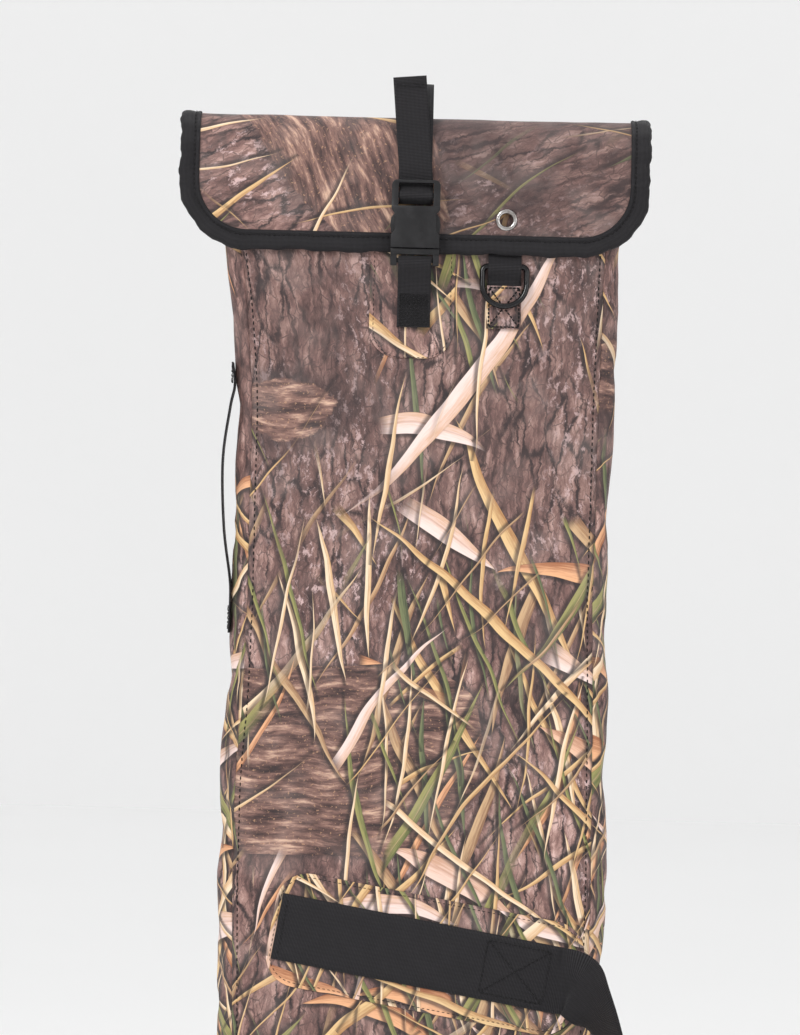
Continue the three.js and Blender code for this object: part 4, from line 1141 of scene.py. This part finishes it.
for label, depth, side, long in (("upper", SLING_UPPER, 1, 209), ("lower", SLING_LOWER, -1, 178)):
    slope = math.radians(side * SLING_SLOPE)

    def laid(x, z):
        """A place on the sloping webbing, as x and depth."""
        cos, sin = math.cos(slope), math.sin(slope)
        return SLING_X + x * cos + z * sin, depth - (z * cos - x * sin)

    outline = [laid(x + 8 - long / 2, z) for x, z in round_outline(long + 26, 86, 24)]
    patch = outline_plate(f"sewn_patch_{label}", outline, -27.3, 0.9, (300 * side, 200))
    finish(patch, CAMO_PATCH, "case", [f"sling_patch_{label}"])
    edge_line = np.array([laid(x + 8 - long / 2, z) for x, z in round_outline(long + 20, 80, 21)])
    edge_line = np.r_[edge_line, edge_line[:1]]
    rows = [(np.stack([edge_line[:, 0], np.full(len(edge_line), -28.25), -edge_line[:, 1]], -1), (0, -1, 0))]
    sew(f"patch_stitches_{label}", rows, 2.5, 1.3, 0.26)
    y = SLING_Y - 0.85
    corners = [laid(x, z) for x, z in ((-52, 20), (-4, 20), (-4, -20), (-52, -20))]
    box_stitch(f"sling_box_{label}", [(px, y, -pd) for px, pd in corners], (0, -1, 0), 2.8, 0.8, 0.5)
    ends = [laid(x, z) for x, z in ((-long + 4, 21), (-long + 4, -21))]
    rows = [(np.linspace((ends[0][0], y, -ends[0][1]), (ends[1][0], y, -ends[1][1]), 12), (0, -1, 0))]
    sew(f"sling_end_{label}", rows, 2.6, 0.9, 0.36)

# ---- Side handle ----

knots = [(-133.2, 188), (-131.3, 205), (-134.4, 222), (-139, 262), (-137, 312), (-131.6, 350), (-130.7, 366),
         (-131.1, 392)]
line = catmull(knots, 90)
line = np.stack([line[:, 0], np.zeros(len(line)), -line[:, 1]], -1)
webbing("handle_webbing", line, "case", "side_handle",
        across=(0, 1, 0))
for label, x, z0, z1 in (("top", -133.4, -190, -203), ("foot", -131.9, -372, -389)):
    corners = [(x, -9.5, z0), (x, 9.5, z0), (x, 9.5, z1), (x, -9.5, z1)]
    box_stitch(f"handle_stitches_{label}", corners, (-1, 0, 0))

# ---- Stage, light and camera ----

scene.view_settings.view_transform = "Standard"
ROLL = math.radians(1.45)


def stage_plane(name, corners, grey, rough):
    mesh = bpy.data.meshes.new(name)
    mesh.from_pydata(corners, [], [(0, 1, 2, 3)])
    obj = bpy.data.objects.new(name, mesh)
    scene.collection.objects.link(obj)
    n = Net(name)
    spread_out = n.noise(n.place(), 0.6, 2)
    colour = n.mix(spread_out, rgb(grey, grey, grey), rgb(grey - 3, grey - 3, grey - 3))
    obj.data.materials.append(n.done(colour, rough))


# Height of the floor, distance of the wall behind the case, and the reach of both, in m
FLOOR = -1.379
WALL = 11.4
WIDE, HIGH = 30, 20
stage_plane("floor", [(-WIDE, -WIDE, FLOOR), (WIDE, -WIDE, FLOOR), (WIDE, WALL, FLOOR), (-WIDE, WALL, FLOOR)],
            248, 0.85)
stage_plane("wall", [(-WIDE, WALL, FLOOR), (WIDE, WALL, FLOOR), (WIDE, WALL, HIGH), (-WIDE, WALL, HIGH)],
            245, 0.9)

world = bpy.data.worlds.new("studio")
scene.world = world
world.use_nodes = True
world.node_tree.nodes["Background"].inputs[0].default_value = (1, 1, 1, 1)
world.node_tree.nodes["Background"].inputs[1].default_value = 0.94


def area_light(name, place, aim, size, power):
    data = bpy.data.lights.new(name, "AREA")
    data.shape, data.size, data.size_y, data.energy = "RECTANGLE", size[0], size[1], power
    obj = bpy.data.objects.new(name, data)
    obj.location = place
    obj.rotation_euler = (Vector(aim) - Vector(place)).to_track_quat("-Z", "Y").to_euler()
    scene.collection.objects.link(obj)


area_light("key", (-1.8, -2.6, 1.6), (0, 0, -0.35), (1.3, 1.3), 78)
area_light("fill", (2.4, -2.4, 0.4), (0, 0, -0.5), (1.8, 2.2), 30)
area_light("top", (0.2, 0.4, 2.4), (0, 0, -0.2), (1.8, 1.4), 26)

camera = bpy.data.objects.new("camera", bpy.data.cameras.new("camera"))
scene.collection.objects.link(camera)
scene.camera = camera
camera.data.sensor_width = 36
camera.data.lens = 138
camera.data.clip_end = 100
camera.location = (-0.004, -3.0, -0.302)
camera.rotation_euler = (math.radians(90), -ROLL, 0)
